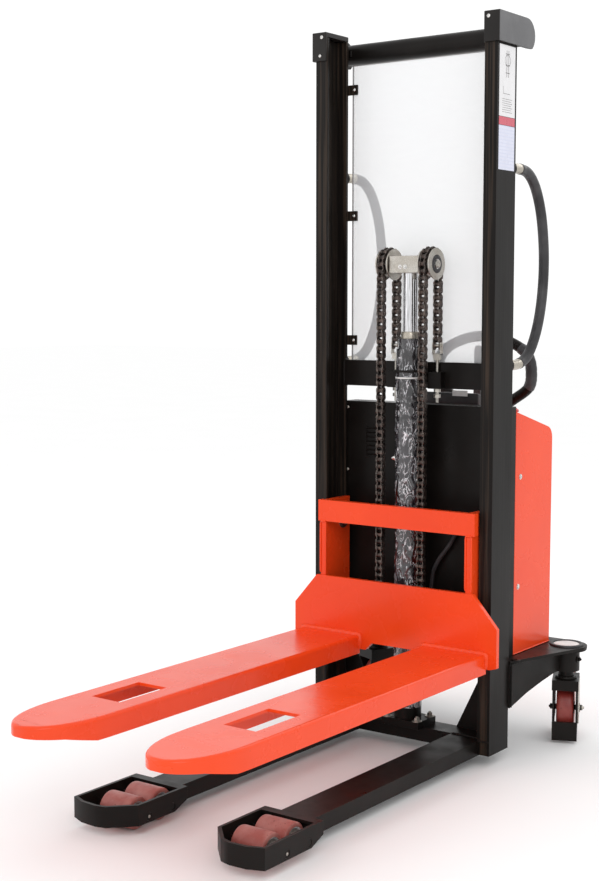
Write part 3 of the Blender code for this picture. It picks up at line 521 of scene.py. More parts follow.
def dome_screw(shape, place, direction, radius):
    """A domed screw head with its hexagon socket."""
    dome = [(0, 0), (radius, 0), (radius, radius * 0.22)]
    dome += [(radius * math.cos(t), radius * (0.22 + 0.42 * math.sin(t))) for t in (0.35, 0.7, 1.0)]
    dome += [(radius * 0.44, radius * 0.62), (radius * 0.42, radius * 0.26), (0, radius * 0.26)]
    turned(shape, dome, place, direction, 24)


def mirrored(profile):
    """The profile's points again on the other side of its middle, in reverse order."""
    return [(radius, -along) for radius, along in reversed(profile)]


def piece(name, shape, look, body="root", bevel=None, smooth=35, replaces=(), slot=None):
    """One visible piece: a shape with its look, riding on a body. The look is a name in LOOKS."""
    slot = slot or SLOTS.get(look, look)
    bmesh.ops.recalc_face_normals(shape, faces=shape.faces)
    mesh = bpy.data.meshes.new(name)
    shape.to_mesh(mesh)
    shape.free()
    made = bpy.data.objects.new(name, mesh)
    bpy.context.scene.collection.objects.link(made)
    mesh.materials.append(LOOKS[look])
    mesh.shade_smooth()
    mesh.set_sharp_from_angle(angle=math.radians(smooth))
    if bevel:
        edge = made.modifiers.new("edge", "BEVEL")
        edge.width, edge.segments = bevel
        edge.limit_method = "ANGLE"
        edge.angle_limit = math.radians(40)
        edge.harden_normals = True
    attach(made, body)
    if replaces:
        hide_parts(*replaces)
    return made


# CAD nodes: their faceted meshes are cleaned, their edges rounded and their shading smoothed by modifiers.


def node_group(name, build):
    """A geometry node group made by build(group, incoming geometry), which returns the outgoing geometry."""
    group = bpy.data.node_groups.new(name, "GeometryNodeTree")
    group.interface.new_socket("Geometry", in_out="INPUT", socket_type="NodeSocketGeometry")
    group.interface.new_socket("Geometry", in_out="OUTPUT", socket_type="NodeSocketGeometry")
    start, end = group.nodes.new("NodeGroupInput"), group.nodes.new("NodeGroupOutput")
    group.links.new(build(group, start.outputs["Geometry"]), end.inputs["Geometry"])
    return group


def joined_facets(group, geometry):
    """Facets that share corners become one surface again, with no normals of their own."""
    merge = add_node(group, "GeometryNodeMergeByDistance", {"Geometry": geometry, "Distance": 0.00001})
    inputs = {"Mesh": merge.outputs["Geometry"], "Remove Custom": True}
    return add_node(group, "GeometryNodeSetMeshNormal", inputs, mode="SHARPNESS").outputs["Mesh"]


def smoothed(group, geometry):
    """Smooth shading, with every edge over 38 degrees kept sharp."""
    angle = add_node(group, "GeometryNodeInputMeshEdgeAngle").outputs["Unsigned Angle"]
    limits = {"A": angle, "B": math.radians(38)}
    flat = add_node(group, "FunctionNodeCompare", limits, operation="LESS_THAN").outputs["Result"]
    inputs = {"Geometry": geometry, "Shade Smooth": True}
    faces = add_node(group, "GeometryNodeSetShadeSmooth", inputs).outputs["Geometry"]
    inputs = {"Geometry": faces, "Shade Smooth": flat}
    return add_node(group, "GeometryNodeSetShadeSmooth", inputs, domain="EDGE").outputs["Geometry"]


JOINED = node_group("joined_facets", joined_facets)
SMOOTHED = node_group("smooth_shading", smoothed)


def cleaned(node):
    """The CAD node with its facets joined into flat faces, ready to be rounded. Its mesh is left alone."""
    made = NODES[node]
    made.modifiers.new("joined", "NODES").node_group = JOINED
    flat = made.modifiers.new("flat", "DECIMATE")
    flat.decimate_type = "DISSOLVE"
    flat.angle_limit = math.radians(0.6)
    return made


def finished(made):
    made.modifiers.new("smooth", "NODES").node_group = SMOOTHED
    made.modifiers.new("weighted", "WEIGHTED_NORMAL").keep_sharp = True


def rounded(node, width):
    """Rounds a CAD node's edges with modifiers."""
    made = cleaned(node)
    if width:
        edge = made.modifiers.new("edge", "BEVEL")
        edge.width, edge.segments = width, 2
        edge.limit_method = "ANGLE"
        edge.angle_limit = math.radians(40)
        edge.miter_outer = "MITER_ARC"
    finished(made)


def rolled_edges(group, geometry):
    """Bevel weights for a fork: 1 round the outside of its top, and a little on every other edge."""

    def compare(socket, operation, limit):
        inputs = {"A": socket, "B": limit}
        return add_node(group, "FunctionNodeCompare", inputs, operation=operation).outputs["Result"]

    def both(first, second, operation="AND"):
        inputs = {0: first, 1: second}
        return add_node(group, "FunctionNodeBooleanMath", inputs, operation=operation).outputs["Boolean"]

    def arithmetic(operation, *values):
        return add_node(group, "ShaderNodeMath", enumerate(values), operation=operation).outputs["Value"]

    def switch(condition, false, true):
        inputs = {"Switch": condition, "False": false, "True": true}
        return add_node(group, "GeometryNodeSwitch", inputs, input_type="FLOAT").outputs["Output"]

    angle = add_node(group, "GeometryNodeInputMeshEdgeAngle").outputs["Unsigned Angle"]
    position = add_node(group, "GeometryNodeInputPosition").outputs["Position"]
    place = add_node(group, "ShaderNodeSeparateXYZ", {"Vector": position}).outputs
    from_middle = arithmetic("SUBTRACT", arithmetic("ABSOLUTE", place["X"]), FORK_X)
    sharp = compare(angle, "GREATER_THAN", math.radians(40))
    top = compare(place["Z"], "GREATER_THAN", FORK_TOP_Z - 0.001)
    outer = compare(arithmetic("ABSOLUTE", from_middle), "GREATER_THAN", 0.050)
    nose = compare(place["Y"], "LESS_THAN", MAST_Y - 1.030)
    heel = compare(place["Y"], "LESS_THAN", MAST_Y - 0.050)
    rim = both(both(both(sharp, top), both(outer, nose, "OR")), heel)
    weight = switch(rim, switch(sharp, 0.0, 0.10), 1.0)
    inputs = {"Geometry": geometry, "Name": "bevel_weight_edge", "Value": weight}
    kind = "GeometryNodeStoreNamedAttribute"
    return add_node(group, kind, inputs, data_type="FLOAT", domain="EDGE").outputs["Geometry"]


def rolled_fork(node, group):
    """A fork: pressed plate, so the rim of its top is rolled over."""
    made = cleaned(node)
    if node == "fork_right":
        # One large face with a hole in it folds over itself when this fork's rim is rounded.
        split = made.modifiers.new("split", "TRIANGULATE")
        split.quad_method = split.ngon_method = "BEAUTY"
    made.modifiers.new("rim", "NODES").node_group = group
    edge = made.modifiers.new("edge", "BEVEL")
    edge.width, edge.segments = 0.0085, 5
    edge.limit_method = "WEIGHT"
    edge.use_clamp_overlap = False
    finished(made)


# The width of each CAD node's rounded edges. A name with {} stands for its left and right nodes.
EDGE_WIDTHS = {
    0.0: "stop_button battery pump_block oil_tank hydraulic_hose lowering_lever",
    0.0006: "guard_screen key_switch chain_anchor_{}",
    0.0008: "piston_rod chain_pulley_{} guide_roller_lower_{} guide_roller_upper_{}",
    0.0010: "top_tube back_panel cylinder_barrel cylinder_gland"
    " load_axle_front_{} load_axle_rear_{} brake_pedal_{}",
    0.0012: "rear_cover pulley_yoke tiller_stem tiller_bracket caster_fork_{}",
    0.0014: "base_beam upright_{}",
    0.0016: "carriage rear_frame leg_{}",
    0.0018: "crossbeam mast_cap_{}",
    0.0030: "pump_motor",
    0.0050: "control_console",
}


def dress_nodes():
    for made in NODES.values():
        slot_name = made.material_slots[0].material.name.split(".")[0]
        made.material_slots[0].material = LOOKS[slot_name]
    for width, names in EDGE_WIDTHS.items():
        for node in {name.format(word): name for name in names.split() for word in SIDES}:
            rounded(node, width)
    rim = node_group("rolled_rim", rolled_edges)
    for word in SIDES:
        rolled_fork(f"fork_{word}", rim)
        for node, look in (
            ("upright", "mast_paint"), ("mast_cap", "cap_paint"), ("load_axle_front", "black_paint"),
            ("load_axle_rear", "black_paint")
        ):
            NODES[f"{node}_{word}"].material_slots[0].material = LOOKS[look]


# Lift chains


def link_plate(shape, start, end, x0, x1, radius, waist):
    """A figure-of-eight link plate between two pins, lying square to X."""
    direction = (end - start).normalized()
    up = Vector((1, 0, 0)).cross(direction)
    middle = (start + end) / 2
    half = (end - start).length / 2
    outline = []
    for sign in (1, -1):
        for degrees in range(-110, 111, 22):
            t = math.radians(degrees)
            along = sign * (half + radius * math.cos(t))
            outline.append((along, sign * radius * math.sin(t)))
        outline.append((0.0, sign * waist))
    points = [middle + direction * a + up * b for a, b in outline]
    sides = []
    for x in (x0, x1):
        sides.append([shape.verts.new((x, point.y, point.z)) for point in points])
    shape.faces.new(sides[0])
    shape.faces.new(sides[1])
    for i in range(len(points)):
        j = (i + 1) % len(points)
        shape.faces.new((sides[0][i], sides[0][j], sides[1][j], sides[1][i]))


def chain(name, body, pins, first, x, replaced=(), clip=None):
    """Roller chain along its pins. Even links are inner ones with rollers, odd ones outer ones with pins."""
    shape = bmesh.new()
    layer = shape.verts.layers.float.new("link_z")
    before = 0
    for number, (start, end) in enumerate(zip(pins, pins[1:]), first):
        inner = number % 2 == 0
        near = 0.0050 if inner else 0.0080
        for sign in (1, -1):
            x0, x1 = sorted((x + sign * near, x + sign * (near + 0.0024)))
            link_plate(shape, start, end, x0, x1, LINK_HEIGHT / 2, LINK_HEIGHT * 0.40)
        for pin in (start, end):
            if inner:
                turned(
                    shape, [(0, -0.0048), (ROLLER_RADIUS, -0.0048), (ROLLER_RADIUS, 0.0048), (0, 0.0048)],
                    (x, pin.y, pin.z), (1, 0, 0), 14
                )
            else:
                profile = [(0, -PIN_HALF), (0.0026, -PIN_HALF), (0.0030, -PIN_HALF + 0.0004)]
                profile += mirrored(profile)
                turned(shape, profile, (x, pin.y, pin.z), (1, 0, 0), 10)
        shape.verts.ensure_lookup_table()
        for vertex in shape.verts[before:]:
            vertex[layer] = (start.z + end.z) / 2
        before = len(shape.verts)
    made = piece(name, shape, "chain_steel", body, replaces=replaced)
    if clip:
        made.modifiers.new("clip", "NODES").node_group = clip
    return made


def clipped_at(marker):
    """Hides every link that has passed the marker's height: that stretch of chain is then on the pulley."""

    def build(group, geometry):
        inputs = {"Object": marker}
        where = add_node(group, "GeometryNodeObjectInfo", inputs, transform_space="RELATIVE")
        split = add_node(group, "ShaderNodeSeparateXYZ", {"Vector": where.outputs["Location"]})
        height = add_node(group, "GeometryNodeInputNamedAttribute", {"Name": "link_z"})
        inputs = {"A": height.outputs["Attribute"], "B": split.outputs["Z"]}
        above = add_node(group, "FunctionNodeCompare", inputs, operation="GREATER_THAN")
        inputs = {"Geometry": geometry, "Selection": above.outputs["Result"]}
        return add_node(group, "GeometryNodeDeleteGeometry", inputs).outputs["Geometry"]

    return node_group("chain_on_pulley", build)


def make_chains():
    marker = bpy.data.objects.new("pulley_axle_marker", None)
    marker.location = at(0, PULLEY_Y, PULLEY_Z)
    bpy.context.scene.collection.objects.link(marker)
    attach(marker, "ram")
    clip = clipped_at(marker)
    step = 2 * math.asin(LINK_PITCH / 2 / PULLEY_PITCH_RADIUS)
    wrap_links = int(math.pi / step)
    for word, side in SIDES.items():
        x = side * CHAIN_X
        turn = [math.pi - step * i for i in range(wrap_links + 1)]
        r = PULLEY_PITCH_RADIUS
        wrap = [at(x, PULLEY_Y + r * math.cos(t), PULLEY_Z + r * math.sin(t)) for t in turn]
        chain(f"chain_wrap_{word}", "ram", wrap, 0, x, [f"chain_front_{word}"])
        # Front run: from the carriage's lug up to the pulley, with spare links for the lowest position.
        count = int((PULLEY_Z - LUG_TOP_Z) / LINK_PITCH)
        spare = math.ceil(-RAM_TRAVEL[0] / LINK_PITCH) + 1
        front = [at(x, PULLEY_Y - r, PULLEY_Z - LINK_PITCH * i) for i in range(count, -spare, -1)]
        chain(f"chain_front_run_{word}", "carriage", front, -count, x, clip=clip)
        # Rear run: from the anchor up to the pulley at its highest.
        top = wrap[-1]
        drop = math.sqrt(LINK_PITCH**2 - (PULLEY_Y + r + MAST_Y - top.y) ** 2)
        highest = math.ceil(RAM_TRAVEL[1] / LINK_PITCH) + 1
        lowest = int((top.z - drop - ANCHOR_TOP_Z) / LINK_PITCH)
        rear = [at(x, PULLEY_Y + r, top.z - drop - LINK_PITCH * i) for i in range(-highest, lowest + 1)]
        chain(
            f"chain_rear_run_{word}", "root", rear, wrap_links + 1 - highest, x, [f"chain_rear_{word}"], clip
        )


def make_chain_ends():
    """Clevises that join the chains to the carriage's lugs and to the anchor rods."""
    for word, side in SIDES.items():
        x = side * CHAIN_X
        for place, body, y, z in (
            ("lug", "carriage", PULLEY_Y - PULLEY_PITCH_RADIUS, LUG_TOP_Z),
            ("anchor", "root", PULLEY_Y + PULLEY_PITCH_RADIUS, ANCHOR_TOP_Z),
        ):
            shape = bmesh.new()
            for sign in (1, -1):
                x0, x1 = sorted((x + sign * 0.0106, x + sign * 0.0132))
                low, high = at(x0, y - 0.007, z - 0.004), at(x1, y + 0.007, z + 0.030)
                box(shape, low, high)
            box(shape, at(x - 0.0132, y - 0.007, z - 0.004), at(x + 0.0132, y + 0.007, z))
            turned(
                shape, [(0, -0.016), (0.0038, -0.016), (0.0038, 0.016), (0, 0.016)], at(x, y, z + 0.0215),
                (1, 0, 0), 12
            )
            piece(f"chain_clevis_{place}_{word}", shape, "zinc_steel", body, (0.0008, 2))


# Mast details


def make_mast_details():
    screws = bmesh.new()
    for side in SIDES.values():
        for z in (1.832, 1.482, 1.132):
            dome_screw(screws, at(side * 0.2225, MAST_DEPTH - 0.0071, z), (0, -1, 0), 0.0048)
        dome_screw(screws, at(side * (MAST_HALF - 0.024), -0.0061, 1.966), (0, -1, 0), 0.0052)
    dome_screw(screws, at(0.018 - MAST_HALF, -0.0061, 1.916), (0, -1, 0), 0.0046)
    piece("mast_screws", screws, "bright_steel", "root", (0.0003, 1))

    rim = bmesh.new()
    low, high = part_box("guard_screen")
    width, proud = 0.0016, 0.0003
    for x0, x1, z0, z1 in (
        (low.x, low.x + width, low.z, high.z),
        (high.x - width, high.x, low.z, high.z),
        (low.x, high.x, low.z, low.z + width),
        (low.x, high.x, high.z - width, high.z),
    ):
        box(rim, (x0 - proud, low.y - proud, z0 - proud), (x1 + proud, high.y + proud, z1 + proud))
    piece("guard_screen_cut_edge", rim, "grey_plastic", "root")

    welds = bmesh.new()
    for side in SIDES.values():
        inner = side * (MAST_HALF - 0.0382)
        for z in (1.0040, 1.0760):
            weld_bead(welds, 0.0030, (inner, 0.088, z), (inner, MAST_DEPTH - 0.001, z))
        weld_bead(welds, 0.0030, (inner, 0.0862, 1.005), (inner, 0.0862, 1.075))
        joint = circle(side * (MAST_HALF - 0.0385), 0.144, 1.936, 0.029, 24)
        sweep(welds, [p for p in joint if p.y - MAST_Y < MAST_DEPTH + 0.012], 0.0032, 8)
        foot = side * MAST_HALF
        weld_bead(welds, 0.0030, (foot, 0.001, 0.070), (foot - side * 0.036, -0.0004, 0.070))
        weld_bead(welds, 0.0034, (side * 0.2469, 0.0295, 0.0675), (side * 0.1520, 0.0295, 0.0675))
        weld_bead(welds, 0.0030, (side * 0.2466, 0.0955, 0.072), (side * 0.2466, 0.0955, 0.296))
    piece("mast_weld_beads", welds, "black_paint", "root", smooth=60)

    # Plain stickers on the outer face of the near upright. Nothing is written on them.
    face = MAST_HALF + 0.0001
    for name, z0, z1, look in (
        ("sticker_upper", 1.716, 1.897, "white_label"),
        ("sticker_red_strip", 1.694, 1.715, "red_label"),
        ("sticker_lower", 1.580, 1.693, "pale_label"),
    ):
        shape = bmesh.new()
        box(shape, at(face, 0.010, z0), at(face + 0.0004, 0.094, z1))
        piece(name, shape, look, "root", (0.0001, 1))


def make_stickers_print():
    """A few plain strokes and a ring on the upper sticker, in place of its drawing."""
    shape = bmesh.new()
    face = MAST_HALF + 0.0005
    strokes = [(0.047, 0.0490, 1.816, 1.884), (0.057, 0.0590, 1.816, 1.884)]
    strokes += [(0.042, 0.064, z, z + 0.0016) for z in (1.826, 1.846, 1.874)]
    strokes += [(0.030, 0.0312, 1.774, 1.792), (0.030, 0.066, 1.7734, 1.7746)]
    strokes += [(0.026, 0.078 - 0.006 * (i % 2), 1.760 - 0.0055 * i, 1.7610 - 0.0055 * i) for i in range(7)]
    for y0, y1, z0, z1 in strokes:
        box(shape, at(face, y0, z0), at(face + 0.0002, y1, z1))
    ring(
        shape, [(0.0140, 0.0), (0.0152, 0.0), (0.0152, 0.0002), (0.0140, 0.0002)], at(face, 0.053, 1.858),
        (1, 0, 0), 32
    )
    piece("sticker_strokes", shape, "grey_plastic", "root")


HANDLE_X = 0.266
HANDLE_KNOTS = (
    (0.1083, 1.5890),
    (0.1600, 1.5920),
    (0.2120, 1.5830),
    (0.2560, 1.5450),
    (0.2900, 1.4760),
    (0.3080, 1.3850),
    (0.3080, 1.3000),
    (0.2930, 1.2170),
    (0.2650, 1.1490),
    (0.2240, 1.0970),
    (0.1720, 1.0740),
    (0.1083, 1.0710),
)


def make_handles():
    """Grab handles: a rubber grip over a dull metal tube that stands on round black bases."""
    for word, side in SIDES.items():
        x = side * HANDLE_X
        route = smooth_route([at(x, y, z) for y, z in HANDLE_KNOTS], 8)
        bare = 8
        tube = bmesh.new()
        sweep(tube, route[: bare + 3], 0.0136, 24)
        sweep(tube, route[-bare - 3 :], 0.0136, 24)
        piece(f"handle_tube_{word}", tube, "dull_steel", "root")
        grip = bmesh.new()
        inner = route[bare:-bare]
        sweep(grip, inner, lambda share: 0.0141 + 0.0006 * (min(share, 1 - share) < 0.02), 24)
        piece(f"handle_grip_{word}", grip, "black_rubber", "root", (0.0012, 2), 50,
              replaces=[f"grab_handle_{word}"])
        bases = bmesh.new()
        for y, z in (HANDLE_KNOTS[0], HANDLE_KNOTS[-1]):
            profile = [
                (0.0137, 0.0), (0.0195, 0.0), (0.0195, 0.0070), (0.0175, 0.0100), (0.0160, 0.0130),
                (0.0137, 0.0135)
            ]
            ring(bases, profile, at(x, MAST_DEPTH + 0.0003, z), (0, 1, 0), 32)
        piece(f"handle_bases_{word}", bases, "black_paint", "root", smooth=30)


# Lift cylinder


def film_wrap(name, z_low, z_high, radius, depth, rows):
    """Film round the barrel: folds run round it both ways and cross, flat at the back where it is taped."""
    middle = at(0, CYLINDER_Y, 0)
    shape = bmesh.new()
    sides = 84
    rings = []
    for i in range(rows + 1):
        z = z_low + (z_high - z_low) * i / rows
        r = radius(z)
        ring_points = []
        for j in range(sides):
            t = 2 * math.pi * j / sides
            drift = 2.2 * noise.noise(Vector((math.cos(t) * 1.5, math.sin(t) * 1.5, z * 7)))
            up = math.sin(4 * t + z * 92 + drift * 1.6)
            down = math.sin(5 * t - z * 61 + drift * 2.1 + 1.0)
            fine = noise.noise(Vector((math.cos(t) * 5, math.sin(t) * 5, z * 55)))
            fold = max(0.0, up) ** 7 + 0.8 * max(0.0, down) ** 9 + 0.35 * abs(fine)
            flat = 1 - 0.9 * max(0.0, math.sin(t)) ** 0.5
            away = r + 0.0003 + depth * fold * flat
            ring_points.append(shape.verts.new(middle + Vector((away * math.cos(t), away * math.sin(t), z))))
        rings.append(ring_points)
    for here, after in zip(rings, rings[1:]):
        for j in range(sides):
            k = (j + 1) % sides
            shape.faces.new((here[j], here[k], after[k], after[j]))
    shape.faces.new(rings[0])
    shape.faces.new(rings[-1])
    piece(name, shape, "film", "root", smooth=80)


def make_cylinder_details():
    y = CYLINDER_Y
    barrel, gland = 0.038, 0.0331
    barrel_top, gland_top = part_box("cylinder_barrel")[1].z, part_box("cylinder_gland")[1].z
    band_z = 1.0315
    film_wrap("barrel_packing_film", 0.118, band_z - 0.0002, lambda z: barrel, 0.0019, 260)

    def upper(z):
        share = min(1.0, max(0.0, (z - barrel_top + 0.004) / 0.010))
        return barrel + (gland - barrel) * share * (z > barrel_top)

    film_wrap("gland_packing_film", band_z + 0.0048, gland_top - 0.0006, upper, 0.0006, 44)

    bands = bmesh.new()
    ring(
        bands, [(0.0381, 0.0), (0.0406, 0.0), (0.0406, 0.0045), (0.0381, 0.0045)], at(0, y, band_z), sides=48
    )
    piece("barrel_band", bands, "pale_plastic", "root", (0.0006, 2))
    seal = bmesh.new()
    profile = [(0.0203, 0.0), (0.0262, 0.0), (0.0256, 0.0150), (0.0236, 0.0190), (0.0203, 0.0195)]
    ring(seal, profile, at(0, y, gland_top + 0.0002), sides=48)
    piece("rod_seal_ring", seal, "dull_steel", "root", (0.0006, 2))

    clamp = bmesh.new()
    arc = [
        at(0.0425 * math.cos(t), y + 0.0425 * math.sin(t), 1.052) for t in [math.pi * (1 + i / 20) for i in range(21)]
    ]
    arc = [at(0.0425, 0.0860, 1.052), *reversed(arc), at(-0.0425, 0.0860, 1.052)]
    sweep(clamp, arc, 0.0032, 12)
    piece("barrel_clamp", clamp, "black_paint", "root", smooth=50)

    studs = bmesh.new()
    for z in (0.812, 0.668):
        hex_bolt(studs, at(-0.0335, y - 0.0225, z), (-0.83, -0.56, 0), 0.0095)
    piece("barrel_bleed_screws", studs, "bright_steel", "root", (0.0003, 1))


def make_yoke_details():
    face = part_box("pulley_yoke")[0].y - MAST_Y
    pulley_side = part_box("chain_pulley_left")[1].x
    nuts = bmesh.new()
    for x in (-0.010, 0.006):
        hex_bolt(nuts, at(x, face, PULLEY_Z - 0.007), (0, -1, 0), 0.0062)
    for side in SIDES.values():
        place = at(side * pulley_side, PULLEY_Y, PULLEY_Z)
        ring(
            nuts, [(0.0102, 0.0004), (0.0135, 0.0004), (0.0135, 0.0022), (0.0102, 0.0022)], place,
            (side, 0, 0), 32
        )
        ring(
            nuts, [(0.0101, 0.0028), (0.0122, 0.0028), (0.0122, 0.0042), (0.0101, 0.0042)], place,
            (side, 0, 0), 32
        )
    piece("yoke_fasteners", nuts, "bright_steel", "ram", (0.0003, 1))
    for word, side in SIDES.items():
        bearing = bmesh.new()
        place = at(side * pulley_side, PULLEY_Y, PULLEY_Z)
        profile = [
            (0.0138, -0.0010), (0.0250, -0.0010), (0.0250, 0.0004), (0.0240, 0.0008), (0.0148, 0.0008),
            (0.0138, 0.0004)
        ]
        ring(bearing, profile, place, (side, 0, 0), 40)
        piece(f"pulley_seal_{word}", bearing, "black_rubber", f"chain_pulley_{word}")


# Carriage and forks


def make_carriage_details():
    welds = bmesh.new()
    front = -0.0418
    for side in SIDES.values():
        inner, outer = side * (FORK_X - 0.0962), side * (FORK_X + 0.0962)
        top, low = FORK_TOP_Z - 0.0010, FORK_TOP_Z - 0.0380
        weld_bead(
            welds, 0.0098, (inner, front, low), (inner, front, top), (outer, front, top), (outer, front, low)
        )
        plate_x = side * 0.2345
        weld_bead(welds, 0.0028, (plate_x - 0.0088, -0.0335, 0.480), (plate_x - 0.0088, -0.0335, 0.624))
        weld_bead(welds, 0.0028, (plate_x + 0.0088, -0.0335, 0.480), (plate_x + 0.0088, -0.0335, 0.624))
        weld_bead(welds, 0.0034, (plate_x - 0.0086, -0.0330, 0.6255), (plate_x + 0.0086, -0.0330, 0.6255))
        lug = side * CHAIN_X
        for x in (lug - 0.018, lug + 0.018):
            weld_bead(welds, 0.0030, (x, -0.0272, 0.332), (x, -0.0272, 0.368))
    piece("carriage_weld_beads", welds, "orange_paint", "carriage", smooth=70)

    for word, side in SIDES.items():
        for level, z in (("lower", 0.400), ("upper", 0.620)):
            caps = bmesh.new()
            x = side * 0.2492
            profile = [(0.0130, -0.0012), (0.0260, -0.0012), (0.0260, 0.0002), (0.0130, 0.0002)]
            ring(caps, profile, at(x, 0.052, z), (-side, 0, 0), 32)
            piece(f"guide_roller_seal_{level}_{word}", caps, "black_rubber", f"guide_roller_{level}_{word}")
            hub = bmesh.new()
            hex_bolt(hub, at(side * 0.2258, 0.052, z), (-side, 0, 0), 0.022)
            piece(f"guide_roller_nut_{level}_{word}", hub, "zinc_steel", "carriage", (0.0006, 2))


# Legs and load rollers


def make_load_rollers():
    for word, side in SIDES.items():
        for place in ("front", "rear"):
            low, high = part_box(f"load_roller_{place}_{word}")
            centre = (low + high) / 2
            half, r = (high.x - low.x) / 2, (high.z - low.z) / 2
            tyre = bmesh.new()
            crown = [
                (0.0285, -half), (r - 0.0046, -half), (r - 0.0022, -half + 0.0007),
                (r - 0.0007, -half + 0.0022), (r - 0.0002, -half + 0.0050)
            ]
            crown += [(r, 0.0)]
            crown += mirrored(crown[:-1])
            ring(tyre, crown, centre, (1, 0, 0), 72)
            body = f"load_roller_{place}_{word}"
            piece(f"roller_tyre_{place}_{word}", tyre, "red_polyurethane", body, smooth=50, replaces=[body])
            hub = bmesh.new()
            core = [
                (0.0245, -half + 0.0020), (0.0284, -half + 0.0004), (0.0284, half - 0.0004),
                (0.0245, half - 0.0020)
            ]
            ring(hub, core, centre, (1, 0, 0), 48)
            piece(f"roller_core_{place}_{word}", hub, "cast_aluminium", body, (0.0004, 2))
            seal = bmesh.new()
            for way in (1, -1):
                face = [
                    (0.0105, half - 0.0060), (0.0243, half - 0.0060), (0.0243, half - 0.0036),
                    (0.0150, half - 0.0030), (0.0105, half - 0.0036)
                ]
                ring(seal, face, centre, (way, 0, 0), 40)
            piece(f"roller_bearing_{place}_{word}", seal, "zinc_steel", body, (0.0003, 1))


def make_leg_details():
    pins = bmesh.new()
    for side in SIDES.values():
        for x, way in ((side * 0.2853, side), (side * 0.1185, -side)):
            profile = [(0, -0.0008), (0.0036, -0.0008), (0.0036, 0.0005), (0.0026, 0.0010), (0, 0.0010)]
            turned(pins, profile, at(x, -0.8970, 0.039), (way, 0, 0), 16)
    piece("roller_pin_ends", pins, "zinc_steel", "root")

    welds = bmesh.new()
    joint_y, low, high = -0.7597, 0.046, 0.0675
    for side in SIDES.values():
        for x in (0.1500, 0.2484):
            weld_bead(welds, 0.0028, (side * x, joint_y, low), (side * x, joint_y, high - 0.001))
        weld_bead(welds, 0.0032, (side * 0.1530, joint_y, high), (side * 0.2455, joint_y, high))
    piece("leg_weld_beads", welds, "black_paint", "root", smooth=60)

    foot = bmesh.new()
    for x in (-0.048, 0.048):
        for y in (0.018, 0.086):
            hex_bolt(foot, at(x, y, 0.0848), (0, 0, 1), 0.014)
    piece("cylinder_foot_bolts", foot, "zinc_steel", "root", (0.0005, 2))


# Rear frame, casters and brakes


def caster_place(side):
    """The caster's own frame: X outwards, -Y leading, the swivel axis at X = Y = 0."""
    return Matrix.Translation(at(side * CASTER_X, CASTER_Y, 0)) @ Matrix.Rotation(side * CASTER_YAW, 4, "Z")


def make_casters():
    for word, side in SIDES.items():
        place = caster_place(side)
        hub = place @ Vector((0, CASTER_TRAIL, CASTER_RADIUS))
        axis = (place.to_3x3() @ Vector((1, 0, 0))).normalized()
        half, r = 0.0250, CASTER_RADIUS
        body = f"caster_wheel_{word}"
        tyre = bmesh.new()
        tread = [
            (0.0600, -half + 0.0030), (r - 0.0090, -half + 0.0006), (r - 0.0040, -half + 0.0016),
            (r - 0.0014, -half + 0.0046), (r - 0.0003, -half + 0.0120), (r, 0.0)
        ]
        tread += mirrored(tread[:-1])
        ring(tyre, tread, hub, axis, 96)
        piece(f"caster_tyre_{word}", tyre, "caster_tyre", body, smooth=50, replaces=[body])
        core = bmesh.new()
        web = [
            (0.0090, -half), (0.0180, -half), (0.0200, -0.0120), (0.0480, -0.0100), (0.0520, -half + 0.0030),
            (0.0599, -half + 0.0030)
        ]
        web += mirrored(web)
        ring(core, web, hub, axis, 64)
        for i in range(6):
            spoke = place @ Matrix.Translation(
                (0, CASTER_TRAIL, CASTER_RADIUS)
            ) @ Matrix.Rotation(math.pi * i / 3, 4, "X")
            box(core, (-0.0190, -0.0030, 0.0190), (0.0190, 0.0030, 0.0500), spoke)
        piece(f"caster_core_{word}", core, "black_paint", body, (0.0008, 2))

        plates = bmesh.new()
        outline = [
            (-0.043, 0.168), (-0.043, 0.120), (-0.030, 0.052), (0.020, 0.052), (0.058, 0.060),
            (0.066, 0.100), (0.058, 0.168)
        ]
        outward = place @ Matrix(((0, 0, 1, 0), (1, 0, 0, 0), (0, 1, 0, 0), (0, 0, 0, 1)))
        low, high = (0.0354, 0.0384) if side > 0 else (-0.0384, -0.0354)
        plate(plates, outline, low, high, outward)
        piece(f"caster_side_plate_{word}", plates, "zinc_steel", f"caster_{word}", (0.0008, 2))

        nuts, race = bmesh.new(), bmesh.new()
        hex_bolt(nuts, place @ Vector((side * 0.0386, CASTER_TRAIL, CASTER_RADIUS)), axis * side, 0.0130)
        hex_bolt(race, place @ Vector((-side * 0.0352, CASTER_TRAIL, CASTER_RADIUS)), -axis * side, 0.0130)
        profile = [(0.0225, -0.0030), (0.0300, -0.0030), (0.0315, 0.0015), (0.0300, 0.0060), (0.0225, 0.0060)]
        ring(race, profile, place @ Vector((0, 0, 0.1775)), (0, 0, 1), 40)
        piece(f"caster_race_{word}", race, "black_paint", f"caster_{word}", (0.0004, 1))
        piece(f"caster_hardware_{word}", nuts, "zinc_steel", f"caster_{word}", (0.0004, 1))

        pads = bmesh.new()
        for i in range(5):
            y = 0.0690 + 0.0085 * i
            drop = 0.0 if y < 0.082 else (y - 0.082) * 0.055
            box(pads, (-0.0235, y, 0.1680 - drop), (0.0235, y + 0.0040, 0.1712 - drop), place)
        piece(
            f"brake_pedal_ribs_{word}", pads, "caster_tyre", f"brake_pedal_{word}", (0.0009, 2),
            slot="black_rubber"
        )


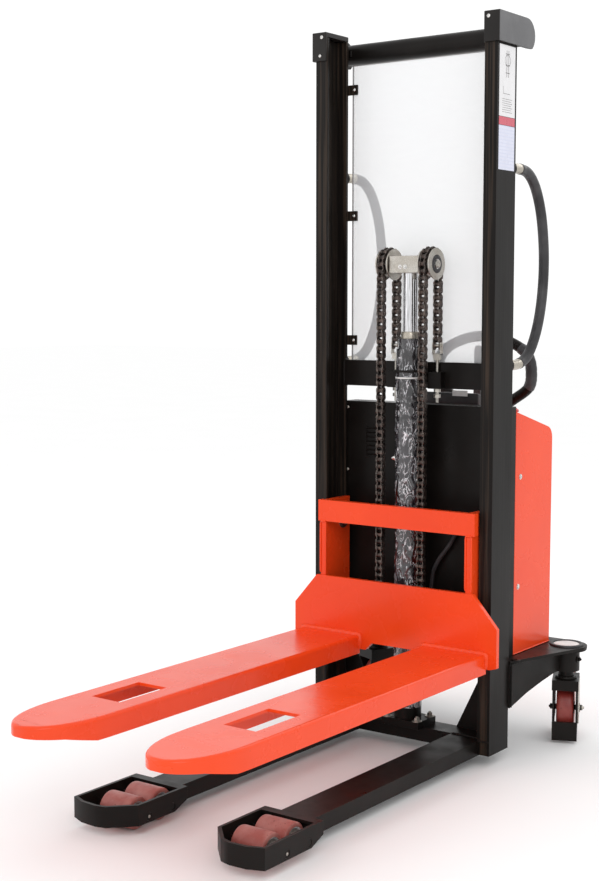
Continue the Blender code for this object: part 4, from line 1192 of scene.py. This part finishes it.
def make_frame_details():
    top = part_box("rear_frame")[1].z
    for word, side in SIDES.items():
        centre = at(side * CASTER_X, CASTER_Y, top)
        cap = bmesh.new()
        turned(
            cap,
            [(0, 0.0), (0.0370, 0.0), (0.0370, 0.0016), (0.0340, 0.0030), (0.0250, 0.0036), (0, 0.0038)],
            centre, (0, 0, 1), 48
        )
        piece(f"caster_cap_{word}", cap, "pale_plastic", "root", smooth=50)
        rim = bmesh.new()
        ring(
            rim, [(0.0374, 0.0), (0.0480, 0.0), (0.0470, 0.0042), (0.0420, 0.0056), (0.0374, 0.0040)],
            centre, (0, 0, 1), 56
        )
        piece(f"caster_cap_rim_{word}", rim, "black_rubber", "root", smooth=45)
    bolts, washers = bmesh.new(), bmesh.new()
    for side in SIDES.values():
        place = at(side * 0.2960, 0.122, top)
        ring(
            washers, [(0.0052, 0.0), (0.0130, 0.0), (0.0130, 0.0020), (0.0090, 0.0036), (0.0052, 0.0036)],
            place, (0, 0, 1), 32
        )
        hex_bolt(washers, at(side * (CASTER_X + 0.0380), CASTER_Y - 0.002, 0.2350), (side, 0, 0), 0.0100)
        for y in (0.396, 0.430):
            hex_bolt(bolts, at(side * 0.058, y, top), (0, 0, 1), 0.0110)
    piece("rear_frame_bolts", bolts, "zinc_steel", "root", (0.0004, 1))
    piece("rear_frame_washers", washers, "black_paint", "root", (0.0004, 1))

    welds = bmesh.new()
    for side in SIDES.values():
        for shift in (-0.0036, 0.0036):
            front, back, face = side * 0.2895 + shift, side * 0.3180 + shift, MAST_DEPTH + 0.0012
            weld_bead(welds, 0.0030, (front, MAST_DEPTH + 0.003, 0.2636), (back, MAST_DEPTH + 0.236, 0.2636))
            weld_bead(welds, 0.0030, (front, face, 0.145), (front, face, 0.262))
    piece("rear_frame_weld_beads", welds, "black_paint", "root", smooth=60)


# Covers and controls


def make_cover_details():
    low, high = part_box("rear_cover")
    screws = bmesh.new()
    for side in SIDES.values():
        for y, z in ((0.199, 0.764), (0.193, 0.460)):
            place = at(side * high.x, y, z)
            ring(
                screws, [(0.002, 0.0), (0.0078, 0.0), (0.0078, 0.0009), (0.002, 0.0012)], place,
                (side, 0, 0), 28
            )
            dome_screw(screws, place + Vector((side * 0.0010, 0, 0)), (side, 0, 0), 0.0054)
    for x in (-0.21, 0.21):
        place = Vector((x, high.y, 0.300))
        dome_screw(screws, place, (0, 1, 0), 0.0054)
    piece("cover_screws", screws, "bright_steel", "root", (0.0003, 1))

    # A folded lip along the cover's bottom edge.
    lip = bmesh.new()
    for side in SIDES.values():
        start, end = at(
            side * (high.x - 0.0002), 0.172, low.z + 0.002
        ), at(side * (high.x - 0.0002), 0.384, low.z + 0.002)
        sweep(lip, along_line(start, end, 0.01), 0.0018, 8)
    sweep(
        lip,
        along_line(Vector((low.x, high.y - 0.0002, low.z + 0.002)), Vector((high.x, high.y - 0.0002, low.z + 0.002)), 0.01),
        0.0018, 8
    )
    piece("cover_bottom_lip", lip, "orange_paint", "root", smooth=60)

    vent = bmesh.new()
    for i in range(7):
        z = 0.807 + 0.0125 * i
        slat = Matrix.Translation(at(-0.159, 0.1086, z)) @ Matrix.Rotation(math.radians(-38), 4, "X")
        box(vent, (-0.0240, -0.0038, -0.0009), (0.0240, 0.0022, 0.0009), slat)
    for x in (-0.184, -0.134):
        box(vent, at(x - 0.0012, 0.1066, 0.800), at(x + 0.0012, 0.1092, 0.892))
    for z in (0.800, 0.892):
        box(vent, at(-0.1852, 0.1066, z - 0.0012), at(-0.1328, 0.1092, z + 0.0012))
    piece("panel_vent", vent, "black_paint", "root", (0.0004, 1))

    panel = bmesh.new()
    for x in (-0.248, 0.248):
        for z in (0.320, 0.540, 0.760, 0.940):
            dome_screw(panel, at(x, 0.1090, z), (0, -1, 0), 0.0042)
    piece("panel_screws", panel, "zinc_steel", "root")


def console_top(x, y, proud=0.0):
    """A place on the console's sloping top, given its X and Y."""
    low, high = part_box("control_console")
    share = (y + MAST_Y - low.y) / (high.y - low.y)
    return Vector((x, y + MAST_Y, 0.9880 + (0.9640 - 0.9880) * share + proud))


def make_console_details():
    lean = Matrix.Rotation(math.atan2(-0.0240, 0.0950), 4, "X")
    normal = lean.to_3x3() @ Vector((0, 0, 1))
    fascia = bmesh.new()
    middle = Matrix.Translation(console_top(0, 0.2425)) @ lean
    box(fascia, (-0.1180, -0.0400, 0.0002), (0.1180, 0.0400, 0.0012), middle)
    piece("console_fascia", fascia, "grey_plastic", "root", (0.0004, 2), slot="dark_plastic")
    gauge = bmesh.new()
    ring(
        gauge, [(0.0205, 0.0012), (0.0250, 0.0012), (0.0240, 0.0052), (0.0205, 0.0052)],
        console_top(0.018, 0.240), normal, 48
    )
    piece("battery_gauge_bezel", gauge, "dark_plastic", "root", smooth=40)
    window = bmesh.new()
    turned(
        window, [(0, 0.0014), (0.0204, 0.0014), (0.0204, 0.0032), (0.0120, 0.0041), (0, 0.0044)],
        console_top(0.018, 0.240), normal, 40
    )
    piece("battery_gauge_window", window, "gauge_window", "root", smooth=50)
    label = bmesh.new()
    box(
        label, (-0.0170, -0.0100, 0.0013), (0.0170, 0.0100, 0.0018),
        Matrix.Translation(console_top(0.088, 0.232)) @ lean
    )
    box(
        label, (-0.0240, -0.0022, -0.0100), (0.0240, -0.0002, 0.0060),
        Matrix.Translation(console_top(0.072, 0.195))
    )
    piece("console_blank_labels", label, "pale_plastic", "root", (0.0002, 1), slot="clear_sheet")
    bezel = bmesh.new()
    centre = Vector((-0.080, 0.243 + MAST_Y, 0.9775))
    ring(
        bezel, [(0.0113, -0.002), (0.0150, -0.002), (0.0150, 0.0016), (0.0135, 0.0028), (0.0113, 0.0028)],
        centre, (0, 0, 1), 40
    )
    piece("key_switch_bezel", bezel, "zinc_steel", "root", (0.0003, 1))
    button_low, button_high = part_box("stop_button")
    x, y = (button_low.x + button_high.x) / 2, (button_low.y + button_high.y) / 2
    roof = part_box("rear_cover")[1].z + COVER_SLOPE * (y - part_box("rear_cover")[0].y)
    collar = bmesh.new()
    place = Vector((x, y, roof))
    lean_cover = Vector((0, -COVER_SLOPE, 1)).normalized()
    ring(
        collar, [(0.0135, 0.0004), (0.0220, 0.0004), (0.0215, 0.0010), (0.0190, 0.0014), (0.0135, 0.0014)],
        place, lean_cover, 40
    )
    piece("stop_button_collar", collar, "red_plastic", "root", smooth=40)


LOOP_HALF = (
    (0.0, 1.1410),
    (0.0500, 1.1350),
    (0.1000, 1.1180),
    (0.1360, 1.0950),
    (0.1530, 1.0650),
    (0.1570, 1.0250),
    (0.1520, 0.9980),
    (0.1360, 0.9800),
    (0.1000, 0.9560),
    (0.0560, 0.9270),
    (0.0262, 0.9080),
)


def make_tiller():
    y = 0.456
    half = smooth_route([at(x, y, z) for x, z in LOOP_HALF], 8)
    other = [Vector((-point.x, point.y, point.z)) for point in reversed(half)]
    loop = bmesh.new()
    sweep(loop, [*other[:-1], *half], 0.0156, 24)
    piece("tiller_loop_tube", loop, "black_paint", "tiller", smooth=50, replaces=["tiller_loop"])
    for word, side in SIDES.items():
        grip = bmesh.new()
        route = [Vector((side * point.x, point.y, point.z)) for point in half[20:52]]
        sweep(grip, route, lambda share: 0.0160 + 0.0009 * abs(math.sin(share * math.pi * 9)) ** 0.5, 24)
        piece(f"tiller_grip_{word}", grip, "black_rubber", "tiller", (0.0008, 2), 60)
    beads = bmesh.new()
    for side in SIDES.values():
        sweep(beads, circle(side * 0.0170, y, 0.9060, 0.0165, 28), 0.0030, 8)
    piece("tiller_weld_beads", beads, "black_paint", "tiller", smooth=60)
    pin = bmesh.new()
    for side in SIDES.values():
        hex_bolt(pin, at(side * 0.0395, 0.418, 0.320), (side, 0, 0), 0.0170)
    piece("tiller_pivot_nuts", pin, "zinc_steel", "root", (0.0005, 2))
    knob = bmesh.new()
    low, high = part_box("lowering_lever")
    for i in range(4):
        z = high.z - 0.024 - 0.007 * i
        box(knob, (low.x + 0.003, low.y - 0.0012, z), (high.x - 0.003, high.y + 0.0012, z + 0.0030))
    piece("lowering_lever_ribs", knob, "black_rubber", "lowering_lever", (0.0005, 1))


def make_hose_ends():
    shape = bmesh.new()
    for place, direction in (
        (at(0.1240, 0.0985, 0.6320), (0.13, 0.03, 1)), (at(0.0080, 0.0970, 0.1250), (-0.42, 0.04, -0.9))
    ):
        way = Vector(direction).normalized()
        start = Vector(place) - way * 0.026
        turned(
            shape,
            [(0, 0.0), (0.0072, 0.0), (0.0078, 0.0020), (0.0078, 0.0170), (0.0070, 0.0190), (0, 0.0190)],
            start, way, 24
        )
        turned(shape, [(0, 0.018), (0.0092, 0.018), (0.0092, 0.0260), (0, 0.0260)], start, way, 6)
    piece("hose_ferrules", shape, "zinc_steel", "root", (0.0005, 2))


# Studio and camera


def make_studio():
    world = bpy.data.worlds.new("studio")
    world.use_nodes = True
    world.node_tree.nodes["Background"].inputs["Color"].default_value = (1.0, 1.0, 1.0, 1.0)
    world.node_tree.nodes["Background"].inputs["Strength"].default_value = 1.07
    bpy.context.scene.world = world
    shape = bmesh.new()
    ground = [shape.verts.new((x, y, -0.0005)) for x, y in ((-30, -30), (30, -30), (30, 30), (-30, 30))]
    shape.faces.new(ground)
    mesh = bpy.data.meshes.new("studio_floor")
    shape.to_mesh(mesh)
    shape.free()
    floor = bpy.data.objects.new("studio_floor", mesh)
    bpy.context.scene.collection.objects.link(floor)
    look = Look("pale_floor", (0.93, 0.93, 0.93), 0.7, Specular_IOR_Level=0.0)
    look.colour(
        look.mix(look.range(look.noise(2, 3), 0.3, 0.7), (0.925, 0.925, 0.925), (0.935, 0.935, 0.935))
    )
    mesh.materials.append(look.material)
    for name, place, aim, size, power in (
        ("key", (3.2, -3.4, 3.4), (0, 0, 0.8), 2.6, 40),
        ("fill", (-3.6, -2.8, 2.4), (0, 0, 0.8), 3.0, 14),
        ("back", (0.5, 4.2, 3.6), (0, 0, 1.0), 3.0, 30),
    ):
        light = bpy.data.lights.new(name, "AREA")
        light.shape = "DISK"
        light.size = size
        light.energy = power
        made = bpy.data.objects.new(name, light)
        made.location = place
        made.rotation_mode = "QUATERNION"
        made.rotation_quaternion = (Vector(aim) - Vector(place)).to_track_quat("-Z", "Y")
        bpy.context.scene.collection.objects.link(made)
    bpy.context.scene.view_settings.view_transform = "Standard"
    bpy.context.scene.view_settings.look = "None"


def make_camera():
    azimuth, pitch = math.radians(36.466), math.radians(5.4567)
    lens = bpy.data.cameras.new("camera")
    lens.sensor_width = 36
    lens.sensor_fit = "AUTO"
    lens.lens = 60.8404
    lens.shift_x, lens.shift_y = 0.0029058, 0.0062883
    lens.dof.use_dof = False
    camera = bpy.data.objects.new("camera", lens)
    bpy.context.scene.collection.objects.link(camera)
    camera.location = at(2.1753, -3.4185, 1.2349)
    forward = Vector(
        (-math.sin(azimuth) * math.cos(pitch), math.cos(azimuth) * math.cos(pitch), -math.sin(pitch))
    )
    camera.rotation_mode = "QUATERNION"
    camera.rotation_quaternion = forward.to_track_quat("-Z", "Y")
    bpy.context.scene.camera = camera


make_camera()
make_studio()
dress_nodes()
make_chains()
make_chain_ends()
make_mast_details()
make_stickers_print()
make_handles()
make_cylinder_details()
make_yoke_details()
make_carriage_details()
make_load_rollers()
make_leg_details()
make_casters()
make_frame_details()
make_cover_details()
make_console_details()
make_tiller()
make_hose_ends()
